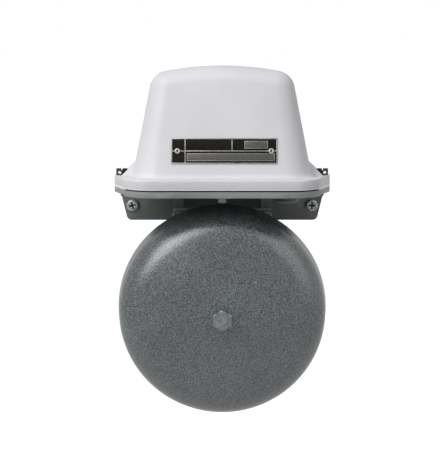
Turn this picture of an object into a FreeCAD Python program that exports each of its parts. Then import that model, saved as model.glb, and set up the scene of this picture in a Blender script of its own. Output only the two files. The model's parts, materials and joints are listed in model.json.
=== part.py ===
import FreeCAD, Part
import math
import os
import Sketcher
from FreeCAD import Placement, Rotation, Vector

# Weatherproof electric signal bell for a wall. A solenoid under a pale hood drives a striker
# down onto a 150 mm steel gong that hangs in front of the wall on a bracket.
# Millimetres. Origin: on the wall, midway between the two wall screws. +X right seen from
# the front, +Y into the wall, +Z up.

doc = FreeCAD.newDocument("SignalBell")
sheet = doc.addObject("Spreadsheet::Sheet", "Sizes")
pieces = []


# Driving sizes
driving_sizes = {
    # wall fixing
    "wall_screw_spacing": 131.5,
    "wall_screw_radius": 2.5,
    "wall_screw_clearance": 0.5,
    "wall_neck_step": 0.3,
    "wall_screw_reach": 25.0,
    "wall_head_radius": 4.6,
    "wall_head_height": 3.0,
    "wall_recess_width": 1.1,
    "wall_recess_length": 5.2,
    "wall_recess_depth": 1.9,
    # base casting: rear plate and tray
    "plate_thickness": 5.0,
    "plate_bottom": 11.0,
    "plate_low_edge": 3.65,
    "plate_high_edge": 0.7,
    "plate_corner_radius": 3.8,
    "split_height": 19.2,
    "tray_band_height": 4.3,
    "tray_floor_thickness": 3.0,
    "tray_inset": 0.9,
    "tray_wall": 6.0,
    "tray_pad_width": 11.4,
    "tray_pad_place": 39.1,
    "tray_pad_rise": 0.5,
    "tray_pad_short": 1.2,
    "housing_wall_gap": 4.0,
    "ear_length": 6.15,
    "ear_tip_half_depth": 4.0,
    "ear_root_half_depth": 27.0,
    "ear_root_sink": 2.0,
    "base_ear_thickness": 3.8,
    "rib_width": 7.0,
    "rib_place": 31.8,
    "rib_depth": 17.0,
    "boss_radius": 9.0,
    "boss_drop": 4.4,
    # gasket between tray and cover
    "gasket_inset": 2.4,
    "gasket_width": 3.0,
    "gasket_groove": 0.3,
    # cover
    "flange_side_room": 36.75,
    "flange_front_room": 24.0,
    "flange_corner_radius": 21.0,
    "flange_lift": 1.1,
    "flange_height": 7.2,
    "flange_edge_round": 1.2,
    "hood_inset": 7.1,
    "hood_low_corner_radius": 19.0,
    "hood_high_corner_radius": 13.0,
    "hood_head_room": 6.5,
    "hood_draw_in": 14.86,
    "hood_crown": 5.4,
    "hood_shoulder_radius": 12.4,
    "hood_foot_round": 4.0,
    "cover_wall": 2.6,
    "gusset_rise": 11.5,
    "gusset_thickness": 5.0,
    "gusset_gap": 1.0,
    # cover screws
    "cover_screw_edge": 4.9,
    "cover_screw_radius": 2.0,
    "cover_screw_fit": 0.06,
    "cover_screw_ear_clearance": 0.3,
    "cover_head_radius": 4.0,
    "cover_head_height": 4.4,
    "cover_head_seat_clearance": 0.4,
    "cover_head_slot": 1.2,
    "cover_head_slot_depth": 1.3,
    "seal_hole_radius": 1.3,
    "seal_hole_shift": 1.4,
    "cover_screw_length": 11.5,
    "dog_point_radius": 1.0,
    "dog_point_length": 3.4,
    # nameplate
    "nameplate_width": 73.0,
    "nameplate_height": 17.7,
    "nameplate_thickness": 0.6,
    "nameplate_middle": 46.5,
    "nameplate_shift": 1.4,
    "nameplate_rivet_edge": 4.2,
    "rivet_radius": 1.1,
    "rivet_head_radius": 1.9,
    "rivet_head_height": 0.7,
    # gong
    "gong_radius": 75.0,
    "gong_crown": 5.0,
    "gong_wall": 2.2,
    "gong_skirt": 18.0,
    "gong_draft": 1.4,
    "gong_shoulder_radius": 22.0,
    "gong_strike_space": 10.2,
    "gong_strike_inset": 10.0,
    "gong_rim_round": 0.8,
    "gong_bolt_clearance": 0.3,
    # gong bracket, post and fixings
    "bracket_thickness": 3.0,
    "bracket_top": 0.5,
    "bracket_shoulder": 12.0,
    "bracket_tongue_half_width": 15.0,
    "bracket_tongue_top": 42.0,
    "bracket_screw_drop": 5.5,
    "bracket_screw_radius": 2.5,
    "bracket_screw_length": 12.0,
    "bracket_screw_end_gap": 1.0,
    "bracket_head_radius": 4.5,
    "bracket_head_height": 3.2,
    "bolt_radius": 4.0,
    "bolt_head_flats": 13.0,
    "bolt_head_height": 5.3,
    "bolt_length": 22.0,
    "bolt_end_gap": 2.0,
    "bolt_chamfer": 0.7,
    "post_radius": 7.0,
    "post_spigot": 12.0,
    "post_washer_radius": 8.0,
    "post_washer_thickness": 1.6,
    "post_nut_height": 6.5,
    "seat_washer_radius": 9.5,
    "seat_washer_thickness": 1.5,
    "thread_fit": 0.05,
    # solenoid
    "frame_strip": 3.0,
    "frame_half_width": 24.0,
    "frame_half_depth": 15.0,
    "frame_foot_reach": 9.0,
    "frame_inside_height": 57.0,
    "frame_tab_half_depth": 4.0,
    "frame_tab_rise": 0.8,
    "frame_screw_half_spacing": 9.0,
    "small_screw_radius": 2.0,
    "small_screw_length": 5.4,
    "small_head_radius": 3.6,
    "small_head_height": 2.4,
    "small_head_slot": 1.0,
    "small_head_slot_depth": 1.1,
    "coil_radius": 16.0,
    "bobbin_flange_radius": 17.0,
    "bobbin_flange_thickness": 2.0,
    "bobbin_barrel_radius": 10.2,
    "core_tube_radius": 8.9,
    "core_tube_wall": 0.8,
    "plunger_clearance": 0.1,
    "pole_height": 10.5,
    "pole_bore_clearance": 0.5,
    "air_gap": 4.6,
    "buffer_thickness": 2.4,
    "buffer_gap": 0.3,
    "stem_radius": 2.5,
    "stem_end_length": 1.2,
    "stem_clearance": 0.6,
    # striker
    "rod_radius": 3.1,
    "rod_fit": 0.06,
    "rod_edge_round": 0.6,
    "tip_radius": 1.5,
    "tip_length": 5.5,
    "tip_proud": 0.6,
    "striker_rest_gap": 2.0,
    "rod_sink": 8.0,
    "bush_radius": 6.0,
    "bush_flange_radius": 7.0,
    "bush_flange_thickness": 1.5,
    # return spring and its collar
    "spring_wire_radius": 0.45,
    "spring_mean_radius": 4.6,
    "spring_height": 10.5,
    "spring_seat_gap": 0.1,
    "collar_radius": 6.6,
    "collar_thickness": 1.2,
    "clip_radius": 4.6,
    "clip_thickness": 0.8,
    "clip_groove_depth": 0.5,
    # terminals
    "terminal_gap": 1.1,
    "terminal_centre_y": 52.0,
    "terminal_width": 15.0,
    "terminal_height": 13.0,
    "terminal_pitch": 8.5,
    "terminal_step": 4.0,
    "terminal_fin_thickness": 1.2,
    "clamp_width": 6.6,
    "clamp_thickness": 1.0,
    "terminal_screw_radius": 1.6,
    "terminal_screw_length": 6.0,
    "terminal_head_radius": 2.9,
    "terminal_head_height": 2.2,
    # coil leads
    "lead_radius": 0.8,
    "lead_bend": 5.0,
    "lead_spread": 6.0,
    "lead_clear": 0.1,
    "lead_front_gap": 3.5,
    "lead_front_step": 3.2,
    # earth terminal
    "earth_gap": 12.0,
    "earth_place_y": 60.0,
    "earth_washer_radius": 5.0,
    "earth_washer_thickness": 1.0,
    # cable gland
    "gland_gap": 13.6,
    "gland_place_y": 24.5,
    "gland_thread_radius": 8.0,
    "gland_flange_radius": 10.6,
    "gland_flange_thickness": 2.6,
    "gland_spigot_radius": 7.6,
    "gland_spigot_length": 5.4,
    "gland_step_height": 1.2,
    "gland_inner_bore_radius": 4.8,
    "gland_nut_radius": 9.6,
    "gland_nut_height": 7.4,
    "gland_nut_lip": 1.6,
    "gland_nut_round": 3.4,
    "gland_locknut_flats": 20.0,
    "gland_locknut_height": 3.2,
    "gland_thread_top": 1.2,
    "gland_bore_radius": 6.0,
    "cable_bore_radius": 4.0,
}

# Counts, and shares of one size that shape another on the same piece
spring_turns = 6
terminal_count = 2
pan_head_round_share = 0.6
slotted_head_round_share = 0.3
rivet_round_share = 0.8
tip_round_share = 0.5
clip_mouth_share = 0.7
spring_points_per_turn = 48

# Lengths closer than this count as equal
tiny = 1e-3


class Length:
    # A driving size, or a sum worked out from some: its value and the words that bind it.
    def __init__(self, value, words):
        self.value = value
        self.words = words

    def joined(self, other, sign, value):
        return Length(value, f"({self.words} {sign} {length(other).words})")

    def __add__(self, other):
        return self.joined(other, "+", self.value + length(other).value)

    def __sub__(self, other):
        return self.joined(other, "-", self.value - length(other).value)

    def __mul__(self, other):
        return self.joined(other, "*", self.value * length(other).value)

    def __truediv__(self, other):
        return self.joined(other, "/", self.value / length(other).value)

    def __radd__(self, other):
        return length(other) + self

    def __rsub__(self, other):
        return length(other) - self

    def __rmul__(self, other):
        return length(other) * self

    def __neg__(self):
        return Length(-self.value, f"(0 - {self.words})")


def length(number):
    if isinstance(number, Length):
        return number
    return Length(float(number), f"({float(number)})")


def square_root(amount):
    return Length(math.sqrt(amount.value), f"sqrt({amount.words})")


class Sizes:
    # Every driving size by its name, as a Length that points at its cell.
    def __init__(self, values):
        for row, (name, value) in enumerate(values.items(), start=1):
            sheet.set(f"A{row}", name)
            sheet.set(f"B{row}", str(value))
            sheet.setAlias(f"B{row}", name)
            setattr(self, name, Length(value, f"Sizes.{name}"))
        doc.recompute()


size = Sizes(driving_sizes)

# Places that several pieces share
foot_half_width = size.frame_half_width + size.frame_foot_reach
flange_half_width = foot_half_width + size.flange_side_room
flange_half_depth = size.frame_half_depth + size.flange_front_room
housing_y = -(flange_half_depth + size.housing_wall_gap)
ear_tip = flange_half_width + size.ear_length
cover_screw_place = ear_tip - size.cover_screw_edge
wall_screw_place = size.wall_screw_spacing / 2
floor_bottom = size.split_height - size.tray_band_height
floor_top = floor_bottom + size.tray_floor_thickness
flange_bottom = size.split_height + size.flange_lift
flange_top = flange_bottom + size.flange_height
ear_top = flange_top - size.flange_edge_round / 2
hood_half_width = flange_half_width - size.hood_inset
hood_half_depth = flange_half_depth - size.hood_inset
rib_face = -(size.plate_thickness + size.rib_depth)
bracket_face = rib_face - size.bracket_thickness
bracket_half_width = size.rib_place + size.rib_width / 2
gong_depth = size.gong_skirt + size.gong_shoulder_radius + size.gong_crown
gong_top = floor_bottom - size.gong_strike_space
gong_z = gong_top - size.gong_radius
gong_rim = housing_y + size.gong_strike_inset
gong_front = gong_rim - gong_depth
gong_inside = gong_front + size.gong_wall
# The skirt narrows by its draft from the rim to where the shoulder's arc meets it
skirt_slant = size.gong_draft / size.gong_skirt
skirt_lean = length(1) / square_root(skirt_slant * skirt_slant + 1)
dome_across = size.gong_radius - size.gong_draft - size.gong_shoulder_radius * skirt_lean
shoulder_height = size.gong_skirt - size.gong_shoulder_radius * skirt_slant * skirt_lean
dome_drop = gong_depth - shoulder_height
dome_reach = dome_across * dome_across + dome_drop * dome_drop
dome_radius = (dome_reach - size.gong_shoulder_radius * size.gong_shoulder_radius) / (
    2 * (dome_drop - size.gong_shoulder_radius)
)
# A little more than the inside of the dome falls across the flat seat washer
washer_sag = size.seat_washer_radius * size.seat_washer_radius / (2 * (dome_radius - 2 * size.gong_wall))
post_front = gong_inside + washer_sag + size.seat_washer_thickness
frame_bottom = floor_top
frame_inside = frame_bottom + size.frame_strip
frame_ceiling = frame_inside + size.frame_inside_height
frame_top = frame_ceiling + size.frame_strip
frame_screw_place = (size.frame_half_width + foot_half_width) / 2
tube_bore = size.core_tube_radius - size.core_tube_wall
plunger_radius = tube_bore - size.plunger_clearance
plunger_bottom = frame_inside + size.pole_height + size.air_gap
plunger_top = frame_ceiling - size.buffer_thickness - size.buffer_gap
strike_fall = skirt_slant * (size.gong_strike_inset - size.tip_radius)
tip_bottom = gong_top - strike_fall + size.striker_rest_gap
rod_bottom = tip_bottom + size.tip_proud
spring_top = frame_top + size.spring_height
clip_bottom = spring_top + size.collar_thickness
stem_top = clip_bottom + size.clip_thickness + size.stem_end_length
hood_top = stem_top + size.hood_head_room + size.cover_wall
hood_height = hood_top - flange_top
hood_taper = size.hood_draw_in / hood_height
rivet_place = size.nameplate_width / 2 - size.nameplate_rivet_edge
terminal_half_length = size.terminal_pitch * terminal_count / 2 + size.terminal_fin_thickness / 2
terminal_x = foot_half_width + size.terminal_gap + terminal_half_length
terminal_y = -size.terminal_centre_y
terminal_top = floor_top + size.terminal_height
clamp_seat = terminal_top - size.terminal_step
earth_x = -(foot_half_width + size.earth_gap)
gland_x = foot_half_width + size.gland_gap
gland_y = -size.gland_place_y


# Drawing helpers
facings = {
    "up": Rotation(),
    "front": Rotation(Vector(1, 0, 0), 90),
    "back": Rotation(Vector(1, 0, 0), -90),
    "down": Rotation(Vector(1, 0, 0), 180),
}


def side_of(sign):
    return "Right" if sign > 0 else "Left"


def bind(thing, place, amount):
    thing.setExpression(place, length(amount).words)


def new_body(label, x=0, y=0, z=0, facing="up", spin=0.0, kept=True):
    # A body whose own Z axis faces the given way, turned about that axis by spin degrees.
    body = doc.addObject("PartDesign::Body", label)
    body.Label = label
    body.Placement = Placement(Vector(), facings[facing] * Rotation(Vector(0, 0, 1), spin))
    for axis, amount in zip("xyz", (x, y, z)):
        bind(body, f".Placement.Base.{axis}", amount)
    if kept:
        pieces.append(body)
    return body


def new_sketch(body, name, plane="XY_Plane", height=0):
    sketch = body.newObject("Sketcher::SketchObject", name)
    origin_plane = next(item for item in body.Origin.OriginFeatures if item.Role == plane)
    sketch.AttachmentSupport = [(origin_plane, "")]
    sketch.MapMode = "FlatFace"
    bind(sketch, ".AttachmentOffset.Base.z", height)
    return sketch


def pin(sketch, kind, *details):
    # A driving constraint whose last detail is a Length.
    *where, amount = details
    number = sketch.addConstraint(Sketcher.Constraint(kind, *where, length(amount).value))
    sketch.setExpression(f"Constraints[{number}]", length(amount).words)


def arc_between(start, end, radius):
    # The shorter arc, anticlockwise for a positive radius, as centre and end angles.
    half = (end - start) / 2
    away = math.sqrt(radius * radius - half.Length * half.Length)
    side = Vector(-half.y, half.x, 0).normalize()
    centre = start + half + side * math.copysign(away, radius)
    first, last = (start, end) if radius > 0 else (end, start)
    angles = [math.atan2(point.y - centre.y, point.x - centre.x) for point in (first, last)]
    return Part.ArcOfCircle(Part.Circle(centre, Vector(0, 0, 1), abs(radius)), *angles)


def outline(sketch, points):
    # A closed outline. A point is x and y, and a third number is the radius of the arc to
    # the next point, positive where the arc turns anticlockwise.
    first_edge = sketch.GeometryCount
    count = len(points)
    spots = [Vector(length(point[0]).value, length(point[1]).value, 0) for point in points]
    starts, ends = [], []
    for index, point in enumerate(points):
        start, end = spots[index], spots[(index + 1) % count]
        edge = first_edge + index
        if len(point) == 3:
            radius = length(point[2])
            sketch.addGeometry(arc_between(start, end, radius.value), False)
            starts.append((edge, 1 if radius.value > 0 else 2))
            ends.append((edge, 2 if radius.value > 0 else 1))
        else:
            sketch.addGeometry(Part.LineSegment(start, end), False)
            starts.append((edge, 1))
            ends.append((edge, 2))
    for index, point in enumerate(points):
        sketch.addConstraint(Sketcher.Constraint("Coincident", *ends[index - 1], *starts[index]))
        pin(sketch, "DistanceX", -1, 1, *starts[index], point[0])
        pin(sketch, "DistanceY", -1, 1, *starts[index], point[1])
    for index, point in enumerate(points):
        if len(point) == 3:
            radius = length(point[2])
            pin(sketch, "Radius", first_edge + index, radius if radius.value > 0 else -radius)


def circle(sketch, radius, x=0, y=0):
    centre = Vector(length(x).value, length(y).value, 0)
    index = sketch.addGeometry(Part.Circle(centre, Vector(0, 0, 1), length(radius).value), False)
    pin(sketch, "DistanceX", -1, 1, index, 3, x)
    pin(sketch, "DistanceY", -1, 1, index, 3, y)
    pin(sketch, "Radius", index, radius)


def rounded_rectangle(sketch, half_x, half_y, radius, y=0):
    x = length(0)
    left, right = x - half_x, x + half_x
    low, high = y - half_y, y + half_y
    outline(
        sketch,
        [
            (left + radius, low),
            (right - radius, low, radius),
            (right, low + radius),
            (right, high - radius, radius),
            (right - radius, high),
            (left + radius, high, radius),
            (left, high - radius),
            (left, low + radius, radius),
        ],
    )


def rectangle(sketch, left, right, low, high):
    outline(sketch, [(left, low), (right, low), (right, high), (left, high)])


def hexagon(sketch, flats, x=0, y=0):
    # Two flats stand left and right, so two corners point up and down.
    half = flats / 2
    corner = flats / math.sqrt(3)
    outline(
        sketch,
        [
            (x + half, y - corner / 2),
            (x + half, y + corner / 2),
            (x, y + corner),
            (x - half, y + corner / 2),
            (x - half, y - corner / 2),
            (x, y - corner),
        ],
    )


def finish_feature(feature):
    doc.recompute()
    if "Invalid" in feature.State or "Error" in feature.State:
        raise RuntimeError(f"{feature.Label} failed: {feature.State}")
    return feature


def pad(body, sketch, amount, reverse=False, both_ways=False):
    feature = body.newObject("PartDesign::Pad", sketch.Name + "Pad")
    feature.Profile = sketch
    feature.Reversed = reverse
    feature.Midplane = both_ways
    bind(feature, "Length", amount)
    return finish_feature(feature)


def check_cut(body, before, name):
    if not body.Shape.Volume < before:
        raise RuntimeError(f"{name} cut nothing")


def pocket(body, sketch, amount, reverse=False, both_ways=False):
    before = body.Shape.Volume
    feature = body.newObject("PartDesign::Pocket", sketch.Name + "Pocket")
    feature.Profile = sketch
    feature.Reversed = reverse
    feature.Midplane = both_ways
    bind(feature, "Length", amount)
    finish_feature(feature)
    check_cut(body, before, feature.Label)
    return feature


def turn(body, points, name="Profile"):
    # A profile of radius and height turned once round the body's own Z axis.
    sketch = new_sketch(body, name, "XZ_Plane")
    outline(sketch, points)
    feature = body.newObject("PartDesign::Revolution", name + "Turned")
    feature.Profile = sketch
    feature.ReferenceAxis = (sketch, ["V_Axis"])
    feature.Angle = 360
    return finish_feature(feature)


def groove(body, points, name):
    before = body.Shape.Volume
    sketch = new_sketch(body, name, "XZ_Plane")
    outline(sketch, points)
    feature = body.newObject("PartDesign::Groove", name + "Cut")
    feature.Profile = sketch
    feature.ReferenceAxis = (sketch, ["V_Axis"])
    feature.Angle = 360
    finish_feature(feature)
    check_cut(body, before, feature.Label)
    return feature


def fillet(body, name, amount, chosen):
    # A fillet on every edge that the test picks.
    tip = body.Tip
    edges = [f"Edge{index}" for index, edge in enumerate(tip.Shape.Edges, start=1) if chosen(edge)]
    if not edges:
        raise RuntimeError(f"{name} found no edge")
    feature = body.newObject("PartDesign::Fillet", name)
    feature.Base = (tip, edges)
    bind(feature, "Radius", amount)
    return finish_feature(feature)


def near(first, second):
    return abs(first - length(second).value) < tiny


def along(edge, axis):
    # True for a straight edge that runs along the axis named "X", "Y" or "Z".
    box = edge.BoundBox
    spans = {"X": box.XLength, "Y": box.YLength, "Z": box.ZLength}
    run = spans.pop(axis)
    return run > tiny and max(spans.values()) < tiny


def level(edge, height):
    # True for an edge that lies flat at the given height.
    return near(edge.BoundBox.ZMin, height) and near(edge.BoundBox.ZMax, height)


def cylinder_profile(radius, low, high):
    return [(0, low), (radius, low), (radius, high), (0, high)]


def sleeve_profile(inside, outside, low, high):
    return [(inside, low), (outside, low), (outside, high), (inside, high)]


# Base casting
def make_base_casting():
    body = new_body("base_casting")
    side = new_sketch(body, "RearPlate", "XZ_Plane")
    low = wall_screw_place + size.plate_low_edge
    high = ear_tip + size.plate_high_edge
    bottom, top = -size.plate_bottom, size.split_height
    outline(side, [(-low, bottom), (low, bottom), (high, top), (-high, top)])
    pad(body, side, size.plate_thickness)
    fillet(body, "PlateCorners", size.plate_corner_radius, lambda edge: along(edge, "Y"))
    add_tray(body)
    add_base_ears(body)
    add_ribs(body)
    drill_base(body)


def add_tray(body):
    half_x = flange_half_width - size.tray_inset
    half_y = flange_half_depth - size.tray_inset
    radius = size.flange_corner_radius - size.tray_inset
    front = housing_y - half_y
    tray = new_sketch(body, "Tray", height=floor_bottom)
    outline(
        tray,
        [
            (-half_x + radius, front),
            (half_x - radius, front, radius),
            (half_x, front + radius),
            (half_x, 0),
            (-half_x, 0),
            (-half_x, front + radius, radius),
        ],
    )
    pad(body, tray, size.tray_band_height)
    for sign in (-1, 1):
        pads = new_sketch(body, "BandPad" + side_of(sign), height=floor_bottom)
        left = sign * size.tray_pad_place - size.tray_pad_width / 2
        root = front + size.tray_wall / 2
        rectangle(pads, left, left + size.tray_pad_width, front - size.tray_pad_rise, root)
        pad(body, pads, size.tray_band_height - size.tray_pad_short)
    hollow = new_sketch(body, "TrayHollow", height=size.split_height)
    wall = size.tray_wall
    rounded_rectangle(hollow, half_x - wall, half_y - wall, radius - wall, housing_y)
    pocket(body, hollow, size.split_height - floor_top)
    boss = new_sketch(body, "GuideBoss", height=floor_top)
    circle(boss, size.boss_radius, 0, housing_y)
    pad(body, boss, size.boss_drop + size.tray_floor_thickness, reverse=True)


def ear_outline(sketch, sign, middle):
    # Seen from above: a lug that narrows from the flange to its tip.
    root = sign * (flange_half_width - size.tray_inset - size.ear_root_sink)
    tip = sign * ear_tip
    corners = [
        (root, middle - size.ear_root_half_depth),
        (tip, middle - size.ear_tip_half_depth),
        (tip, middle + size.ear_tip_half_depth),
        (root, middle + size.ear_root_half_depth),
    ]
    outline(sketch, corners if sign > 0 else corners[::-1])


def add_base_ears(body):
    for sign in (-1, 1):
        ear = new_sketch(body, "BaseEar" + side_of(sign), height=size.split_height)
        ear_outline(ear, sign, housing_y)
        pad(body, ear, size.base_ear_thickness, reverse=True)


def add_ribs(body):
    # Two upright ribs under the tray carry the gong bracket on their front faces.
    for sign in (-1, 1):
        rib = new_sketch(body, "Rib" + side_of(sign), "XZ_Plane")
        left = sign * size.rib_place - size.rib_width / 2
        rectangle(rib, left, left + size.rib_width, -size.plate_bottom, floor_bottom)
        pad(body, rib, size.plate_thickness + size.rib_depth)


def drill_base(body):
    through = size.boss_drop + size.tray_band_height
    down = new_sketch(body, "FloorHoles", height=floor_top)
    circle(down, size.bush_radius + size.thread_fit, 0, housing_y)
    circle(down, size.gland_thread_radius + size.thread_fit, gland_x, gland_y)
    for sign in (-1, 1):
        for depth in (-1, 1):
            circle(
                down,
                size.small_screw_radius + size.thread_fit,
                sign * frame_screw_place,
                housing_y + depth * size.frame_screw_half_spacing,
            )
    circle(
        down,
        size.small_screw_radius + size.thread_fit,
        earth_x,
        -size.earth_place_y,
    )
    pocket(body, down, through)
    ears = new_sketch(body, "EarHoles", height=size.split_height)
    for sign in (-1, 1):
        circle(
            ears,
            size.cover_screw_radius + size.cover_screw_fit,
            sign * cover_screw_place,
            housing_y,
        )
    pocket(body, ears, size.tray_band_height)
    wall = new_sketch(body, "WallHoles", "XZ_Plane")
    for sign in (-1, 1):
        circle(
            wall,
            size.wall_screw_radius + size.wall_screw_clearance,
            sign * wall_screw_place,
            0,
        )
    pocket(body, wall, size.plate_thickness, reverse=True)
    bracket = new_sketch(body, "BracketHoles", "XZ_Plane", height=-rib_face)
    for sign in (-1, 1):
        circle(
            bracket,
            size.bracket_screw_radius + size.thread_fit,
            sign * size.rib_place,
            -size.bracket_screw_drop,
        )
    pocket(body, bracket, size.bracket_screw_length)
    groove_sketch = new_sketch(body, "GasketGroove", height=size.split_height)
    gasket_rings(groove_sketch, size.thread_fit)
    pocket(body, groove_sketch, size.gasket_groove)


def gasket_rings(sketch, slack):
    outer = size.tray_inset + size.gasket_inset - slack
    inner = size.tray_inset + size.gasket_inset + size.gasket_width + slack
    for inset in (outer, inner):
        rounded_rectangle(
            sketch,
            flange_half_width - inset,
            flange_half_depth - inset,
            size.flange_corner_radius - inset,
            housing_y,
        )


def make_gasket():
    body = new_body("cover_gasket")
    ring = new_sketch(body, "GasketRing", height=size.split_height - size.gasket_groove)
    gasket_rings(ring, length(0))
    pad(body, ring, size.gasket_groove + size.flange_lift)


# Cover
def hood_section(sketch, height_above, wall):
    # The hood's outline at a height above the flange, drawn in by its taper and by the wall.
    draw_in = hood_taper * height_above + wall
    corner_loss = size.hood_low_corner_radius - size.hood_high_corner_radius
    radius = size.hood_low_corner_radius - corner_loss * height_above / hood_height - wall
    rounded_rectangle(
        sketch,
        hood_half_width - draw_in,
        hood_half_depth - draw_in,
        radius,
    )


def loft(body, kind, name, sections):
    feature = body.newObject(kind, name)
    feature.Profile = sections[0]
    feature.Sections = sections[1:]
    feature.Ruled = True
    return finish_feature(feature)


def crown_cut(body, name, top, spread):
    # Cuts away all that stands above a shallow dome whose highest point is at top.
    crown = size.hood_crown
    half = hood_half_width - hood_taper * hood_height
    dome = (half * half + crown * crown) / (2 * crown)
    edge_drop = dome - square_root(dome * dome - spread * spread)
    above = hood_top + crown
    groove(body, [(0, top), (0, above), (spread, above), (spread, top - edge_drop, dome)], name)


def is_hood_rim(edge):
    # The closed line where the dome meets the drafted walls, without the dome's seam.
    box = edge.BoundBox
    high = box.ZMin > (hood_top - 2 * size.hood_crown - size.cover_wall).value
    seam = max(abs(box.YMin), abs(box.YMax)) < tiny
    return high and box.DiagonalLength > tiny and not seam


def is_hood_foot(edge):
    # The line where the hood's walls stand on the flange.
    box = edge.BoundBox
    inside_x = max(box.XMax, -box.XMin) < hood_half_width.value + tiny
    inside_y = max(box.YMax, -box.YMin) < hood_half_depth.value + tiny
    return level(edge, flange_top) and inside_x and inside_y


def build_hood(body, wall, bottom):
    low = new_sketch(body, "HoodLow" + body.Name, height=bottom)
    hood_section(low, bottom - flange_top, wall)
    high = new_sketch(body, "HoodHigh" + body.Name, height=hood_top)
    hood_section(high, hood_height, wall)
    loft(body, "PartDesign::AdditiveLoft", "Hood" + body.Name, [low, high])
    crown_cut(body, "Crown" + body.Name, hood_top - wall, hood_half_width)
    fillet(body, "Shoulder" + body.Name, size.hood_shoulder_radius - wall, is_hood_rim)


def make_cover():
    core = new_body("cover_core", kept=False)
    build_hood(core, length(size.cover_wall), flange_bottom)
    body = new_body("cover", y=housing_y)
    flange = new_sketch(body, "Flange", height=flange_bottom)
    rounded_rectangle(
        flange,
        flange_half_width,
        flange_half_depth,
        size.flange_corner_radius,
    )
    pad(body, flange, size.flange_height)
    build_hood(body, length(0), flange_top)
    fillet(body, "Foot", size.hood_foot_round, is_hood_foot)
    fillet(body, "FlangeEdge", size.flange_edge_round, lambda edge: level(edge, flange_top))
    add_cover_ears(body)
    hollow = body.newObject("PartDesign::Boolean", "Hollow")
    hollow.Type = "Cut"
    hollow.Group = [core]
    finish_feature(hollow)
    drill_cover(body)


def add_cover_ears(body):
    # Each lug has two webs that lean against the hood, one each side of its screw.
    height = ear_top - size.split_height
    for sign in (-1, 1):
        ear = new_sketch(body, "CoverEar" + side_of(sign), height=size.split_height)
        ear_outline(ear, sign, length(0))
        pad(body, ear, height)
        web_base = ear_top - size.flange_edge_round
        outer = sign * cover_screw_place
        inner = sign * (hood_half_width - hood_taper * size.gusset_rise - size.cover_wall / 2)
        web_top = ear_top + size.gusset_rise
        corners = [(inner, web_base), (outer, web_base), (outer, ear_top), (inner, web_top)]
        for end in (-1, 1):
            middle = end * (size.cover_head_radius + size.gusset_gap + size.gusset_thickness / 2)
            name = f"Web{side_of(sign)}{'Rear' if end > 0 else 'Front'}"
            web = new_sketch(body, name, "XZ_Plane", height=-middle)
            outline(web, corners if sign > 0 else corners[::-1])
            pad(body, web, size.gusset_thickness, both_ways=True)


def drill_cover(body):
    ears = new_sketch(body, "CoverEarHoles", height=size.split_height)
    for sign in (-1, 1):
        circle(
            ears,
            size.cover_screw_radius + size.cover_screw_ear_clearance,
            sign * cover_screw_place,
        )
    pocket(body, ears, ear_top - size.split_height, reverse=True)
    seats = new_sketch(body, "ScrewSeats", height=ear_top)
    for sign in (-1, 1):
        circle(
            seats,
            size.cover_head_radius + size.cover_head_seat_clearance,
            sign * cover_screw_place,
        )
    pocket(body, seats, size.cover_head_height, reverse=True)


def make_cover_screw(label, sign, spin):
    # A sealing screw: cheese head with a slot and a cross hole for the sealing wire, a plain
    # shank and a thin dog point that shows under the lug.
    shank_end = -size.cover_screw_length
    body = new_body(label, sign * cover_screw_place, housing_y, ear_top, spin=spin)
    turn(
        body,
        [
            (0, shank_end - size.dog_point_length),
            (size.dog_point_radius, shank_end - size.dog_point_length),
            (size.dog_point_radius, shank_end),
            (size.cover_screw_radius, shank_end),
            (size.cover_screw_radius, 0),
            (size.cover_head_radius, 0),
            (size.cover_head_radius, size.cover_head_height),
            (0, size.cover_head_height),
        ],
    )
    slot = new_sketch(body, "Slot", height=size.cover_head_height)
    half = size.cover_head_slot / 2
    rectangle(slot, -half, half, -size.cover_head_radius, size.cover_head_radius)
    pocket(body, slot, size.cover_head_slot_depth)
    hole = new_sketch(body, "SealHole", "XZ_Plane")
    height = (size.cover_head_height - size.cover_head_slot_depth) / 2
    circle(hole, size.seal_hole_radius, sign * size.seal_hole_shift, height)
    pocket(body, hole, 2 * size.cover_head_radius, both_ways=True)


def hood_front(height):
    # The hood's front face, as a distance in front of the cover's middle plane.
    return hood_half_depth - hood_taper * (height - flange_top)


def leaning(body):
    # Leans a body back with the hood's front face.
    lean = math.degrees(math.atan(hood_taper.value))
    body.Placement.Rotation = Rotation(Vector(1, 0, 0), 90 - lean)


def make_nameplate():
    middle = size.nameplate_middle
    body = new_body("nameplate", size.nameplate_shift, housing_y - hood_front(middle), middle)
    leaning(body)
    plate = new_sketch(body, "Plate")
    half_width, half_height = size.nameplate_width / 2, size.nameplate_height / 2
    rectangle(plate, -half_width, half_width, -half_height, half_height)
    pad(body, plate, size.nameplate_thickness)
    holes = new_sketch(body, "RivetHoles", height=size.nameplate_thickness)
    for sign in (-1, 1):
        circle(holes, size.rivet_radius, sign * rivet_place)
    pocket(body, holes, size.nameplate_thickness)


def make_nameplate_rivets():
    middle = size.nameplate_middle
    body = new_body("nameplate_rivets", size.nameplate_shift, housing_y - hood_front(middle), middle)
    leaning(body)
    for sign in (-1, 1):
        place = sign * rivet_place
        shank = new_sketch(body, "RivetShank" + side_of(sign))
        circle(shank, size.rivet_radius, place)
        pad(body, shank, size.nameplate_thickness)
        head = new_sketch(body, "RivetHead" + side_of(sign), height=size.nameplate_thickness)
        circle(head, size.rivet_head_radius, place)
        pad(body, head, size.rivet_head_height)
    top = size.nameplate_thickness + size.rivet_head_height
    dome = size.rivet_head_height * rivet_round_share
    fillet(body, "RivetDomes", dome, lambda edge: level(edge, top))


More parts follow.
